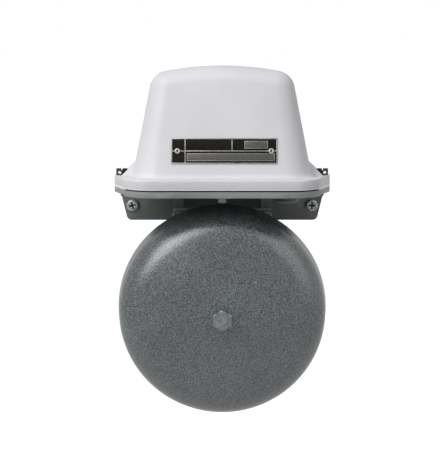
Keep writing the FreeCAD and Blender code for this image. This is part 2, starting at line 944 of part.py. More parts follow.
# Wall screws
def make_wall_screw(label, sign, spin):
    # A pan head with a cross recess, a plain neck through the plate, and a shank behind it.
    shank, neck_end = size.wall_screw_radius, -size.plate_thickness
    neck = shank + size.wall_neck_step
    tip = neck_end - size.wall_screw_reach
    body = new_body(label, sign * wall_screw_place, neck_end, 0, "front", spin)
    turn(
        body,
        [
            (0, tip),
            (shank, tip),
            (shank, neck_end),
            (neck, neck_end),
            (neck, 0),
            (size.wall_head_radius, 0),
            (size.wall_head_radius, size.wall_head_height),
            (0, size.wall_head_height),
        ],
    )
    round_off = size.wall_head_height * pan_head_round_share
    fillet(body, "PanHead", round_off, lambda edge: level(edge, size.wall_head_height))
    cross_recess(body)


def cross_recess(body):
    half, reach = size.wall_recess_width / 2, size.wall_recess_length / 2
    sketch = new_sketch(body, "CrossRecess", height=size.wall_head_height)
    outline(
        sketch,
        [
            (half, half),
            (reach, half),
            (reach, -half),
            (half, -half),
            (half, -reach),
            (-half, -reach),
            (-half, -half),
            (-reach, -half),
            (-reach, half),
            (-half, half),
            (-half, reach),
            (half, reach),
        ],
    )
    pocket(body, sketch, size.wall_recess_depth)


# Gong, its bracket and its fixings
def gong_curve(inset):
    # The gong's section, drawn in by inset: drafted skirt, shoulder arc and shallow dome.
    rim = size.gong_radius - inset / skirt_lean
    shoulder = size.gong_shoulder_radius - inset
    start = (
        dome_across + shoulder * skirt_lean,
        shoulder_height + shoulder * skirt_slant * skirt_lean,
    )
    reach = (dome_radius - inset) / (dome_radius - size.gong_shoulder_radius)
    meeting = (dome_across * reach, gong_depth - dome_radius + (dome_radius - dome_drop) * reach)
    return rim, start, meeting, gong_depth - inset, shoulder, dome_radius - inset


def make_gong():
    body = new_body("gong", 0, gong_rim, gong_z, "front")
    rim, start, meeting, depth, shoulder, dome = gong_curve(length(0))
    inner = gong_curve(size.gong_wall)
    inner_rim, inner_start, inner_meeting, inner_depth, inner_shoulder, inner_dome = inner
    turn(
        body,
        [
            (rim, 0),
            (*start, shoulder),
            (*meeting, dome),
            (0, depth),
            (0, inner_depth, -inner_dome),
            (*inner_meeting, -inner_shoulder),
            inner_start,
            (inner_rim, 0),
        ],
        "GongSection",
    )
    fillet(body, "RimRound", size.gong_rim_round, lambda edge: level(edge, 0))
    hole = new_sketch(body, "BoltHole", height=gong_depth)
    circle(hole, size.bolt_radius + size.gong_bolt_clearance)
    pocket(body, hole, size.gong_wall * 2)


def make_gong_bracket():
    # A steel plate across the two ribs whose tongue reaches down behind the gong.
    body = new_body("gong_bracket", 0, rib_face, 0, "front")
    sketch = new_sketch(body, "BracketShape")
    half, tongue = bracket_half_width, size.bracket_tongue_half_width
    outline(
        sketch,
        [
            (-half, size.bracket_top),
            (-half, -size.bracket_shoulder),
            (-tongue, -size.bracket_tongue_top),
            (-tongue, gong_z, tongue),
            (0, gong_z - tongue, tongue),
            (tongue, gong_z),
            (tongue, -size.bracket_tongue_top),
            (half, -size.bracket_shoulder),
            (half, size.bracket_top),
        ],
    )
    pad(body, sketch, size.bracket_thickness)
    holes = new_sketch(body, "BracketDrilling", height=size.bracket_thickness)
    circle(holes, size.bolt_radius + size.thread_fit, 0, gong_z)
    for sign in (-1, 1):
        circle(
            holes,
            size.bracket_screw_radius + size.thread_fit,
            sign * size.rib_place,
            -size.bracket_screw_drop,
        )
    pocket(body, holes, size.bracket_thickness)


def screw_profile(radius, reach, head_radius, head_height):
    return [
        (0, -reach),
        (radius, -reach),
        (radius, 0),
        (head_radius, 0),
        (head_radius, head_height),
        (0, head_height),
    ]


def join_solids(label, members):
    # One sub-part that groups fasteners of one kind as separate solids.
    group = doc.addObject("Part::Compound", label)
    group.Label = label
    group.Links = members
    doc.recompute()
    pieces.append(group)
    return group


def slotted_screw(label, radius, reach, head_radius, head_height, x, y, z, facing="up", spin=0.0):
    body = new_body(label, x, y, z, facing, spin, kept=False)
    turn(body, screw_profile(radius, reach, head_radius, head_height))
    round_off = head_height * slotted_head_round_share
    fillet(body, "HeadRound", round_off, lambda edge: level(edge, head_height))
    slot = new_sketch(body, "Slot", height=head_height)
    half = size.small_head_slot / 2
    rectangle(slot, -half, half, -head_radius, head_radius)
    pocket(body, slot, size.small_head_slot_depth)
    return body


def make_bracket_screws():
    join_solids(
        "gong_bracket_screws",
        [
            slotted_screw(
                f"bracket_screw_{side}",
                size.bracket_screw_radius,
                size.bracket_screw_length + size.bracket_thickness - size.bracket_screw_end_gap,
                size.bracket_head_radius,
                size.bracket_head_height,
                sign * size.rib_place,
                bracket_face,
                -size.bracket_screw_drop,
                "front",
                spin,
            )
            for side, sign, spin in (("left", -1, 35.0), ("right", 1, 80.0))
        ],
    )


def make_gong_post():
    # A turned post with a threaded spigot behind and a tapped hole in front.
    body = new_body("gong_post", 0, bracket_face, gong_z, "front")
    reach = bracket_face - post_front
    bore = size.bolt_radius + size.thread_fit
    drilled = reach - size.bolt_length
    turn(
        body,
        [
            (0, -(size.bracket_thickness + size.post_spigot)),
            (size.bolt_radius, -(size.bracket_thickness + size.post_spigot)),
            (size.bolt_radius, 0),
            (size.post_radius, 0),
            (size.post_radius, reach),
            (bore, reach),
            (bore, drilled),
            (0, drilled),
        ],
    )


def make_post_washer():
    body = new_body("gong_post_washer", 0, rib_face, gong_z, "back")
    bore = size.bolt_radius + size.thread_fit
    turn(body, sleeve_profile(bore, size.post_washer_radius, 0, size.post_washer_thickness))


def make_post_nut():
    body = new_body("gong_post_nut", 0, rib_face + size.post_washer_thickness, gong_z, "back")
    sketch = new_sketch(body, "NutShape")
    hexagon(sketch, size.bolt_head_flats)
    circle(sketch, size.bolt_radius + size.thread_fit)
    pad(body, sketch, size.post_nut_height)


def make_seat_washer():
    body = new_body("gong_seat_washer", 0, post_front, gong_z, "front")
    bore = size.bolt_radius + size.gong_bolt_clearance
    turn(body, sleeve_profile(bore, size.seat_washer_radius, 0, size.seat_washer_thickness))


def make_gong_bolt():
    body = new_body("gong_bolt", 0, gong_front, gong_z, "front")
    grip = size.gong_wall + size.seat_washer_thickness
    shank_end = -(grip + size.bolt_length - size.bolt_end_gap)
    turn(body, cylinder_profile(size.bolt_radius, shank_end, 0), "BoltShank")
    head = new_sketch(body, "BoltHead")
    hexagon(head, size.bolt_head_flats)
    pad(body, head, size.bolt_head_height)
    # The turned chamfer that takes the six corners off the front of the head.
    half, high, fall = size.bolt_head_flats / 2, size.bolt_head_height, size.bolt_chamfer
    outside = 2 * size.bolt_head_flats / math.sqrt(3) - half
    cut = [(half, high), (outside, high - 2 * fall), (outside, high + fall), (half, high + fall)]
    groove(body, cut, "HeadChamfer")


# Solenoid
def make_magnet_frame():
    # A bent steel strip: foot, two side walls and a tab on each wall for the top plate.
    body = new_body("magnet_frame", 0, housing_y, frame_bottom)
    strip, half_depth = size.frame_strip, size.frame_half_depth
    foot = new_sketch(body, "Foot")
    foot_half = foot_half_width
    rectangle(foot, -foot_half, foot_half, -half_depth, half_depth)
    pad(body, foot, strip)
    wall_top = strip + size.frame_inside_height
    for sign in (-1, 1):
        middle = sign * (size.frame_half_width - strip / 2)
        wall = new_sketch(body, "FrameWall" + side_of(sign), height=strip)
        rectangle(wall, middle - strip / 2, middle + strip / 2, -half_depth, half_depth)
        pad(body, wall, size.frame_inside_height)
        tab = new_sketch(body, "FrameTab" + side_of(sign), height=wall_top)
        tab_half = size.frame_tab_half_depth
        rectangle(tab, middle - strip / 2, middle + strip / 2, -tab_half, tab_half)
        pad(body, tab, strip + size.frame_tab_rise)
    holes = new_sketch(body, "FootHoles", height=strip)
    circle(holes, size.bush_flange_radius + size.thread_fit)
    for x, y in frame_screw_places():
        circle(holes, size.small_screw_radius + size.thread_fit, x, y)
    pocket(body, holes, strip)


def frame_screw_places():
    return [
        (across * frame_screw_place, along_y * size.frame_screw_half_spacing)
        for across in (-1, 1)
        for along_y in (-1, 1)
    ]


def make_magnet_top():
    # The plate that closes the frame, with a notch for each tab and a hole for the stem.
    body = new_body("magnet_top", 0, housing_y, frame_ceiling)
    half, half_depth, fit = size.frame_half_width, size.frame_half_depth, size.thread_fit
    plate = new_sketch(body, "TopPlate")
    rectangle(plate, -half, half, -half_depth, half_depth)
    pad(body, plate, size.frame_strip)
    openings = new_sketch(body, "TopOpenings", height=size.frame_strip)
    circle(openings, size.stem_radius + size.stem_clearance)
    notch_half = size.frame_tab_half_depth + fit
    inner = half - size.frame_strip - fit
    outer = half + size.frame_strip
    rectangle(openings, inner, outer, -notch_half, notch_half)
    rectangle(openings, -outer, -inner, -notch_half, notch_half)
    pocket(body, openings, size.frame_strip)


def make_magnet_screws():
    members = []
    for index, (x, y) in enumerate(frame_screw_places()):
        members.append(
            slotted_screw(
                f"magnet_screw_{index}",
                size.small_screw_radius,
                size.small_screw_length,
                size.small_head_radius,
                size.small_head_height,
                x,
                housing_y + y,
                frame_inside,
                spin=25.0 + 40.0 * index,
            )
        )
    join_solids("magnet_screws", members)


def make_sleeve(label, inside, outside, bottom, top):
    body = new_body(label, 0, housing_y, bottom)
    turn(body, sleeve_profile(inside, outside, 0, top - bottom))
    return body


def make_coil():
    bore = size.core_tube_radius + size.thread_fit
    flange, barrel = size.bobbin_flange_radius, size.bobbin_barrel_radius
    thick, high = size.bobbin_flange_thickness, size.frame_inside_height
    bobbin = new_body("coil_bobbin", 0, housing_y, frame_inside)
    turn(
        bobbin,
        [
            (bore, 0),
            (flange, 0),
            (flange, thick),
            (barrel, thick),
            (barrel, high - thick),
            (flange, high - thick),
            (flange, high),
            (bore, high),
        ],
    )
    low, top = frame_inside + thick, frame_ceiling - thick
    make_sleeve("coil_winding", barrel + size.thread_fit, size.coil_radius, low, top)
    make_sleeve("core_tube", tube_bore, size.core_tube_radius, frame_inside, frame_ceiling)
    make_sleeve(
        "pole_piece",
        size.rod_radius + size.pole_bore_clearance,
        tube_bore - size.thread_fit,
        frame_inside,
        frame_inside + size.pole_height,
    )
    make_sleeve(
        "plunger_buffer",
        size.stem_radius + size.stem_clearance,
        tube_bore - size.thread_fit,
        frame_ceiling - size.buffer_thickness,
        frame_ceiling,
    )


def make_plunger():
    # The soft iron plunger with its stem, and a bore below that holds the striker rod.
    body = new_body("plunger", 0, housing_y, plunger_bottom)
    high = plunger_top - plunger_bottom
    groove_low = clip_bottom - plunger_bottom
    groove_high = groove_low + size.clip_thickness
    waist = size.stem_radius - size.clip_groove_depth
    bore = size.rod_radius + size.thread_fit
    turn(
        body,
        [
            (bore, 0),
            (plunger_radius, 0),
            (plunger_radius, high),
            (size.stem_radius, high),
            (size.stem_radius, groove_low),
            (waist, groove_low),
            (waist, groove_high),
            (size.stem_radius, groove_high),
            (size.stem_radius, stem_top - plunger_bottom),
            (0, stem_top - plunger_bottom),
            (0, size.rod_sink),
            (bore, size.rod_sink),
        ],
    )


def make_striker():
    rod = new_body("striker_rod", 0, housing_y, rod_bottom)
    high = plunger_bottom + size.rod_sink - rod_bottom
    bore, deep = size.tip_radius + size.thread_fit, size.tip_length - size.tip_proud
    radius = size.rod_radius
    turn(rod, [(bore, 0), (radius, 0), (radius, high), (0, high), (0, deep), (bore, deep)])
    fillet(
        rod,
        "RodEdge",
        size.rod_edge_round,
        lambda edge: level(edge, 0) and edge.BoundBox.XMax > bore.value + tiny,
    )
    tip = new_body("striker_tip", 0, housing_y, tip_bottom)
    turn(tip, cylinder_profile(size.tip_radius, 0, size.tip_length))
    fillet(tip, "TipEdge", size.tip_proud * tip_round_share, lambda edge: level(edge, 0))


def make_guide_bush():
    body = new_body("guide_bush", 0, housing_y, floor_top)
    bore = size.rod_radius + size.rod_fit
    bottom = -(size.tray_floor_thickness + size.boss_drop)
    turn(
        body,
        [
            (bore, bottom),
            (size.bush_radius, bottom),
            (size.bush_radius, 0),
            (size.bush_flange_radius, 0),
            (size.bush_flange_radius, size.bush_flange_thickness),
            (bore, size.bush_flange_thickness),
        ],
    )


# Return spring with its collar and clip
def make_spring_stops():
    bore = size.stem_radius + size.thread_fit
    make_sleeve("spring_collar", bore, size.collar_radius, spring_top, clip_bottom)
    clip = new_body("spring_clip", 0, housing_y, clip_bottom, spin=200.0)
    ring = new_sketch(clip, "ClipRing")
    circle(ring, size.clip_radius)
    circle(ring, size.stem_radius - size.clip_groove_depth + size.thread_fit)
    pad(clip, ring, size.clip_thickness)
    mouth = new_sketch(clip, "ClipMouth", height=size.clip_thickness)
    half = size.stem_radius * clip_mouth_share
    rectangle(mouth, -half, half, 0, 2 * size.clip_radius)
    pocket(clip, mouth, size.clip_thickness)


def helix_wire(radius, low, high, turns):
    # A rising coil of arcs: two arcs that meet smoothly for each quarter turn.
    quarters = turns * 4
    quarter_rise = (high - low) / quarters
    slope = quarter_rise * 2 / math.pi
    places, directions = [], []
    for quarter in range(quarters + 1):
        angle = quarter * math.pi / 2
        across, back = radius * math.cos(angle), radius * math.sin(angle)
        places.append(Vector(across, back, low + quarter_rise * quarter))
        directions.append(Vector(-back, across, slope).normalize())
    edges = []
    for here in range(quarters):
        there = here + 1
        edges += biarc(places[here], directions[here], places[there], directions[there])
    return Part.Wire(edges)


def biarc(start, start_way, end, end_way):
    # Two arcs from start to end that leave and arrive in the given directions.
    span, total = end - start, start_way + end_way
    bend = 2 * (1 - start_way.dot(end_way))
    reach = (math.sqrt(span.dot(total) ** 2 + bend * span.dot(span)) - span.dot(total)) / bend
    first_corner, last_corner = start + start_way * reach, end - end_way * reach
    joint = (first_corner + last_corner) / 2
    return [arc_round(start, first_corner, joint, reach), arc_round(joint, last_corner, end, reach)]


def arc_round(start, corner, end, reach):
    # The arc from start to end whose end directions meet at the corner.
    middle = (start + end) / 2
    turn_angle = math.acos((end - start).Length / 2 / reach)
    rise = math.tan(turn_angle / 2) / math.tan(turn_angle)
    return Part.Arc(start, middle + (corner - middle) * rise, end).toShape()


def swept_tube(path, radius):
    first = path.Edges[0]
    start = first.valueAt(first.FirstParameter)
    way = first.tangentAt(first.FirstParameter)
    ring = Part.Wire([Part.makeCircle(radius, start, way)])
    return path.makePipeShell([ring], True, False)


def least_gap(path, radius, turns):
    # The smallest air gap between one turn of the wire and the next, on points along it.
    points = path.discretize(Number=turns * spring_points_per_turn + 1)
    skip = spring_points_per_turn * 3 // 4
    nearest = min(
        first.distanceToPoint(second)
        for index, first in enumerate(points)
        for second in points[index + skip :]
    )
    return nearest - 2 * radius


def own_shape(label, shape, x, y, z):
    piece = doc.addObject("Part::Feature", label)
    piece.Label = label
    piece.Shape = shape
    for axis, amount in zip("xyz", (x, y, z)):
        bind(piece, f".Placement.Base.{axis}", amount)
    doc.recompute()
    pieces.append(piece)
    return piece


def make_return_spring():
    wire = size.spring_wire_radius.value
    margin = wire + size.spring_seat_gap.value
    path = helix_wire(
        size.spring_mean_radius.value, margin, size.spring_height.value - margin, spring_turns
    )
    print("return_spring least gap", round(least_gap(path, wire, spring_turns), 3))
    own_shape("return_spring", swept_tube(path, wire), 0, housing_y, frame_top)


# Terminals and leads
def terminal_places():
    middle = (terminal_count - 1) / 2
    return [(index - middle) * size.terminal_pitch for index in range(terminal_count)]


def make_terminal_block():
    body = new_body("terminal_block", terminal_x, terminal_y, floor_top)
    half_width = size.terminal_width / 2
    seat = size.terminal_height - size.terminal_step
    block = new_sketch(body, "Block")
    rectangle(block, -terminal_half_length, terminal_half_length, -half_width, half_width)
    pad(body, block, seat)
    half_fin = size.terminal_fin_thickness / 2
    for index in range(terminal_count + 1):
        place = (index - terminal_count / 2) * size.terminal_pitch
        fin = new_sketch(body, f"Fin{index}", height=seat)
        rectangle(fin, place - half_fin, place + half_fin, -half_width, half_width)
        pad(body, fin, size.terminal_step)
    holes = new_sketch(body, "TerminalHoles", height=seat)
    for place in terminal_places():
        circle(holes, size.terminal_screw_radius + size.thread_fit, place)
    pocket(body, holes, size.terminal_screw_length)


def clamp_height():
    # The underside of the clamp plates, which lie on the bare ends of the leads.
    return clamp_seat + 2 * size.lead_radius + 2 * size.lead_clear


def make_terminal_clamps():
    members = []
    for index, place in enumerate(terminal_places()):
        x = terminal_x + place
        body = new_body(f"terminal_clamp_{index}", x, terminal_y, clamp_height(), kept=False)
        plate = new_sketch(body, "Clamp")
        half = size.clamp_width / 2
        rectangle(plate, -half, half, -half, half)
        circle(plate, size.terminal_screw_radius + size.thread_fit)
        pad(body, plate, size.clamp_thickness)
        members.append(body)
    join_solids("terminal_clamps", members)


def make_terminal_screws():
    members = []
    for index, place in enumerate(terminal_places()):
        members.append(
            slotted_screw(
                f"terminal_screw_{index}",
                size.terminal_screw_radius,
                size.terminal_screw_length,
                size.terminal_head_radius,
                size.terminal_head_height,
                terminal_x + place,
                terminal_y,
                clamp_height() + size.clamp_thickness,
                spin=15.0 + 50.0 * index,
            )
        )
    join_solids("terminal_screws", members)


def rounded_route(points, bend):
    # Straight runs joined by arcs of one radius.
    edges = []
    here = points[0]
    for before, corner, after in zip(points, points[1:], points[2:]):
        come, leave = (corner - before).normalize(), (after - corner).normalize()
        half_turn = come.getAngle(leave) / 2
        cut_back = bend * math.tan(half_turn)
        first, last = corner - come * cut_back, corner + leave * cut_back
        inward = (leave - come).normalize()
        centre = corner + inward * (bend / math.cos(half_turn))
        edges.append(Part.makeLine(here, first))
        edges.append(Part.Arc(first, centre - inward * bend, last).toShape())
        here = last
    edges.append(Part.makeLine(here, points[-1]))
    return Part.Wire(edges)


def make_coil_leads():
    # Each lead leaves the front of the winding and runs level to its terminal.
    height = (clamp_seat + size.lead_radius + size.lead_clear).value
    side_step = (size.terminal_screw_radius + size.lead_radius + size.lead_clear).value
    coil = size.coil_radius.value
    starts = ((1, "coil_lead_a"), (-1, "coil_lead_b"))
    for index, (sign, label) in enumerate(starts):
        start_x = sign * size.lead_spread.value
        near_side = size.lead_spread.value - size.lead_radius.value
        start_y = -math.sqrt(coil * coil - near_side * near_side) - size.lead_clear.value
        front = -(size.coil_radius + size.lead_front_gap + index * size.lead_front_step).value
        end_x = terminal_x.value + terminal_places()[index].value - side_step
        end_y = (terminal_y - housing_y).value + size.clamp_width.value / 2
        route = [
            Vector(start_x, start_y, 0),
            Vector(start_x, front, 0),
            Vector(end_x, front, 0),
            Vector(end_x, end_y, 0),
        ]
        bend = min(size.lead_bend.value, start_y - front - size.lead_radius.value)
        path = rounded_route(route, bend)
        own_shape(label, swept_tube(path, size.lead_radius.value), 0, housing_y, height)


def make_earth_terminal():
    x, y = earth_x, -size.earth_place_y
    washer = new_body("earth_washer", x, y, floor_top)
    bore = size.small_screw_radius + size.thread_fit
    turn(washer, sleeve_profile(bore, size.earth_washer_radius, 0, size.earth_washer_thickness))
    screw = slotted_screw(
        "earth_screw",
        size.small_screw_radius,
        size.small_screw_length - size.frame_strip + size.earth_washer_thickness,
        size.small_head_radius,
        size.small_head_height,
        x,
        y,
        floor_top + size.earth_washer_thickness,
        spin=60.0,
    )
    pieces.append(screw)


# Cable gland, below the tray
def make_gland():
    x, y, bottom = gland_x, gland_y, floor_bottom
    flange, spigot = size.gland_flange_thickness, size.gland_spigot_length
    inner, wide = size.gland_inner_bore_radius, size.gland_bore_radius
    thread_top = size.tray_floor_thickness + size.gland_locknut_height + size.gland_thread_top
    shoulder = -size.gland_step_height
    low = -(flange + spigot)
    gland = new_body("gland_body", x, y, bottom)
    turn(
        gland,
        [
            (wide, low),
            (size.gland_spigot_radius, low),
            (size.gland_spigot_radius, -flange),
            (size.gland_flange_radius, -flange),
            (size.gland_flange_radius, 0),
            (size.gland_thread_radius, 0),
            (size.gland_thread_radius, thread_top),
            (inner, thread_top),
            (inner, shoulder),
            (wide, shoulder),
        ],
    )
    lip_top = -(flange + size.gland_nut_height - size.gland_nut_lip)
    seal = new_body("gland_seal", x, y, bottom)
    outer = wide - size.thread_fit
    turn(seal, sleeve_profile(size.cable_bore_radius, outer, lip_top, shoulder))
    nut = new_body("gland_nut", x, y, bottom)
    nut_bottom = -(flange + size.gland_nut_height)
    bore = size.gland_spigot_radius + size.thread_fit
    mouth = size.cable_bore_radius + size.gland_step_height / 2
    turn(
        nut,
        [
            (mouth, nut_bottom),
            (size.gland_nut_radius, nut_bottom),
            (size.gland_nut_radius, -flange),
            (bore, -flange),
            (bore, lip_top),
            (mouth, lip_top),
        ],
    )
    fillet(
        nut,
        "NutRound",
        size.gland_nut_round,
        lambda edge: level(edge, nut_bottom) and edge.BoundBox.XMax > bore.value,
    )
    locknut = new_body("gland_locknut", x, y, floor_top)
    ring = new_sketch(locknut, "LocknutShape")
    hexagon(ring, size.gland_locknut_flats)
    circle(ring, size.gland_thread_radius + size.thread_fit)
    pad(locknut, ring, size.gland_locknut_height)


make_base_casting()
make_gasket()
make_cover()
make_cover_screw("cover_screw_left", -1, 0.0)
make_cover_screw("cover_screw_right", 1, 0.0)
make_nameplate()
make_nameplate_rivets()
make_wall_screw("wall_screw_left", -1, 15.0)
make_wall_screw("wall_screw_right", 1, 40.0)
make_gong()
make_gong_bracket()
make_bracket_screws()
make_gong_post()
make_post_washer()
make_post_nut()
make_seat_washer()
make_gong_bolt()
make_magnet_frame()
make_magnet_top()
make_magnet_screws()
make_coil()
make_plunger()
make_striker()
make_guide_bush()
make_spring_stops()
make_return_spring()
make_terminal_block()
make_terminal_clamps()
make_terminal_screws()
make_coil_leads()
make_earth_terminal()
make_gland()

for thing in doc.Objects:
    if "Invalid" in thing.State or "Error" in thing.State:
        raise RuntimeError(f"{thing.Label}: {thing.State}")
for piece in pieces:
    if piece.Shape.isNull() or not piece.Shape.isValid():
        raise RuntimeError(f"{piece.Label} has no valid shape")
os.makedirs("parts", exist_ok=True)
for piece in pieces:
    print(piece.Label, len(piece.Shape.Solids), round(piece.Shape.Volume, 1))
    piece.Shape.exportStep(f"parts/{piece.Label}.step")
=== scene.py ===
import json
import math

import bpy
from mathutils import Matrix, Vector

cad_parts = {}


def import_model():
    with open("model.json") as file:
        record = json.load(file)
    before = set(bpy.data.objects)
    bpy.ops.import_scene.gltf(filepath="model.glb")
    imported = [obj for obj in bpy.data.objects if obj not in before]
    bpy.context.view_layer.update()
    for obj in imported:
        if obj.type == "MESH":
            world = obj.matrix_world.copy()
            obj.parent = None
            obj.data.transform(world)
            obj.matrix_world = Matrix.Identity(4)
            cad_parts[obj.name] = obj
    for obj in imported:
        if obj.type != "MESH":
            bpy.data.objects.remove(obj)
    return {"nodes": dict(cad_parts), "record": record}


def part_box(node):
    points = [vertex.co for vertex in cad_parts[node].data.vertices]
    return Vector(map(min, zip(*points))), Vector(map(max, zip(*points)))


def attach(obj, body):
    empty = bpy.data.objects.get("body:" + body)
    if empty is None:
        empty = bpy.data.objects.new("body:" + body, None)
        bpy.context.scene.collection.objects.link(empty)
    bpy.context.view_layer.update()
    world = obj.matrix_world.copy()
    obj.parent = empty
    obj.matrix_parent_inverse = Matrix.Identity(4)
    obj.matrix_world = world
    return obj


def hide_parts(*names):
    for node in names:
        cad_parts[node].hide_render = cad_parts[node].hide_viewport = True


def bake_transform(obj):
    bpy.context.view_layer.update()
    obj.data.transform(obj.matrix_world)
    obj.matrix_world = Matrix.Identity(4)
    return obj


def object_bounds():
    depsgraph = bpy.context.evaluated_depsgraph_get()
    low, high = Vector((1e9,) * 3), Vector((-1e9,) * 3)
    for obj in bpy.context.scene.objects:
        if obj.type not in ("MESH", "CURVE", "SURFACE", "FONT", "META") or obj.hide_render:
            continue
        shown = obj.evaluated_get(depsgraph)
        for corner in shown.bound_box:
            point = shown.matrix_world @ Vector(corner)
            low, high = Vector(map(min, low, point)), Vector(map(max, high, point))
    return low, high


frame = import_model()
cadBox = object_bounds()
nodes = frame["nodes"]
mm = 0.001


# Small tools

def linear(hexColour):
    # sRGB hex to the linear colour that a shader wants
    parts = [int(hexColour[i:i + 2], 16) / 255 for i in (1, 3, 5)]
    return [c / 12.92 if c <= 0.04045 else ((c + 0.055) / 1.055) ** 2.4 for c in parts] + [1.0]


def perMm(size):
    # texture scale for a pattern whose cells are this many millimetres across
    return 1 / (size * mm)


def addNode(tree, kind, inputs, **settings):
    # one node with its settings; an input is a value or the socket it is linked from
    node = tree.nodes.new(kind)
    for name, value in settings.items():
        setattr(node, name, value)
    for name, value in inputs.items():
        if isinstance(value, bpy.types.NodeSocket):
            tree.links.new(value, node.inputs[name])
        else:
            node.inputs[name].default_value = value
    return node


def newFinish(name, colour, roughness, metallic=0.0, **sockets):
    # a material with its constants on the shader's own sockets, and where its pattern reads from
    material = bpy.data.materials.new(name)
    material.use_nodes = True
    tree = material.node_tree
    shader = tree.nodes["Principled BSDF"]
    values = {"Base Color": linear(colour), "Roughness": roughness, "Metallic": metallic, **sockets}
    for socket, value in values.items():
        shader.inputs[socket].default_value = value
    place = addNode(tree, "ShaderNodeTexCoord", {}).outputs["Object"]
    return material, tree, shader, place


# the middle part of a noise's values, where most of them lie
toneSpan = {"From Min": 0.32, "From Max": 0.68}
glossSpan = {"From Min": 0.3, "From Max": 0.7}


def patchy(tree, shader, place, low, high, size):
    # colour that drifts between two tones over patches of this size
    noise = addNode(tree, "ShaderNodeTexNoise", {"Vector": place, "Scale": perMm(size), "Detail": 3.0})
    blend = addNode(tree, "ShaderNodeMapRange", {"Value": noise.outputs[0], **toneSpan})
    mix = addNode(
        tree, "ShaderNodeMix", {0: blend.outputs[0], 6: linear(low), 7: linear(high)}, data_type="RGBA"
    )
    tree.links.new(mix.outputs[2], shader.inputs["Base Color"])
    return mix.outputs[2]


def rough(tree, shader, place, low, high, size, stretch):
    # roughness that varies between two values, along scratches if stretched
    mapped = addNode(tree, "ShaderNodeMapping", {"Vector": place, "Scale": stretch})
    noise = addNode(
        tree, "ShaderNodeTexNoise", {"Vector": mapped.outputs[0], "Scale": perMm(size), "Detail": 4.0}
    )
    span = addNode(
        tree,
        "ShaderNodeMapRange",
        {"Value": noise.outputs[0], **glossSpan, "To Min": low, "To Max": high},
    )
    tree.links.new(span.outputs[0], shader.inputs["Roughness"])
    return noise.outputs[0]


def bumped(tree, shader, height, depth, strength):
    # relief of this many millimetres from a height between 0 and 1
    bump = addNode(
        tree, "ShaderNodeBump", {"Height": height, "Distance": depth * mm, "Strength": strength}
    )
    tree.links.new(bump.outputs[0], shader.inputs["Normal"])


# Materials

def hammertoneEnamel():
    # hammertone stove enamel: leafing aluminium in a blue-grey lacquer that draws up into fine
    # dimples, so it glints in points and throws back a broad, soft light; cell and cloud are
    # in millimetres, and wobble, warp and flake are shares of a cell
    look = {
        "colour": "#505959", "deep": "#12181a", "light": "#778183", "tones": (0.08, 0.56),
        "rough": 0.3, "metal": 0.05, "gloss": 0.95, "rimGloss": 0.15, "slants": (0.4, 0.9),
        "cell": 0.85, "wobble": 1.6, "warp": 0.8, "flake": 0.9, "dimple": -0.75,
        "cloud": 34.0, "drift": 0.16, "relief": (0.12, 0.6),
    }
    cell = look["cell"]
    material, tree, shader, place = newFinish(
        "hammertoneEnamel",
        look["colour"],
        look["rough"],
        look["metal"],
        **{"Specular IOR Level": look["gloss"]},
    )
    wobble = addNode(
        tree, "ShaderNodeTexNoise", {"Vector": place, "Scale": perMm(look["wobble"] * cell)}
    )
    warped = addNode(
        tree,
        "ShaderNodeVectorMath",
        {0: wobble.outputs[1], 1: [look["warp"] * cell * mm] * 3, 2: place},
        operation="MULTIPLY_ADD",
    )
    dimples = addNode(tree, "ShaderNodeTexVoronoi", {"Vector": warped.outputs[0], "Scale": perMm(cell)})
    flakes = addNode(
        tree,
        "ShaderNodeTexNoise",
        {"Vector": place, "Scale": perMm(look["flake"] * cell), "Detail": 2.0},
    )
    cloud = addNode(
        tree, "ShaderNodeTexNoise", {"Vector": place, "Scale": perMm(look["cloud"]), "Detail": 2.0}
    )
    mottled = addNode(
        tree,
        "ShaderNodeMath",
        {0: dimples.outputs[0], 1: look["dimple"], 2: flakes.outputs[0]},
        operation="MULTIPLY_ADD",
    )
    drifted = addNode(
        tree,
        "ShaderNodeMath",
        {0: cloud.outputs[0], 1: look["drift"], 2: mottled.outputs[0]},
        operation="MULTIPLY_ADD",
    )
    dark, pale = look["tones"]
    span = addNode(
        tree, "ShaderNodeMapRange", {"Value": drifted.outputs[0], "From Min": dark, "From Max": pale}
    )
    # the light and deep tones are partly the enamel's own mottle and partly painted glints where the
    # dimples' facets catch the lamps
    mix = addNode(
        tree,
        "ShaderNodeMix",
        {0: span.outputs[0], 6: linear(look["deep"]), 7: linear(look["light"])},
        data_type="RGBA",
    )
    tree.links.new(mix.outputs[2], shader.inputs["Base Color"])
    bumped(tree, shader, mottled.outputs[0], *look["relief"])

    # at a slant the dimples hide one another, and the gloss dies away towards the rim
    slant = addNode(tree, "ShaderNodeLayerWeight", {"Blend": 0.5}).outputs["Facing"]
    first, last = look["slants"]
    spread = {"From Min": first, "From Max": last, "To Min": look["gloss"], "To Max": look["rimGloss"]}
    masked = addNode(tree, "ShaderNodeMapRange", {"Value": slant, **spread})
    tree.links.new(masked.outputs[0], shader.inputs["Specular IOR Level"])
    return material


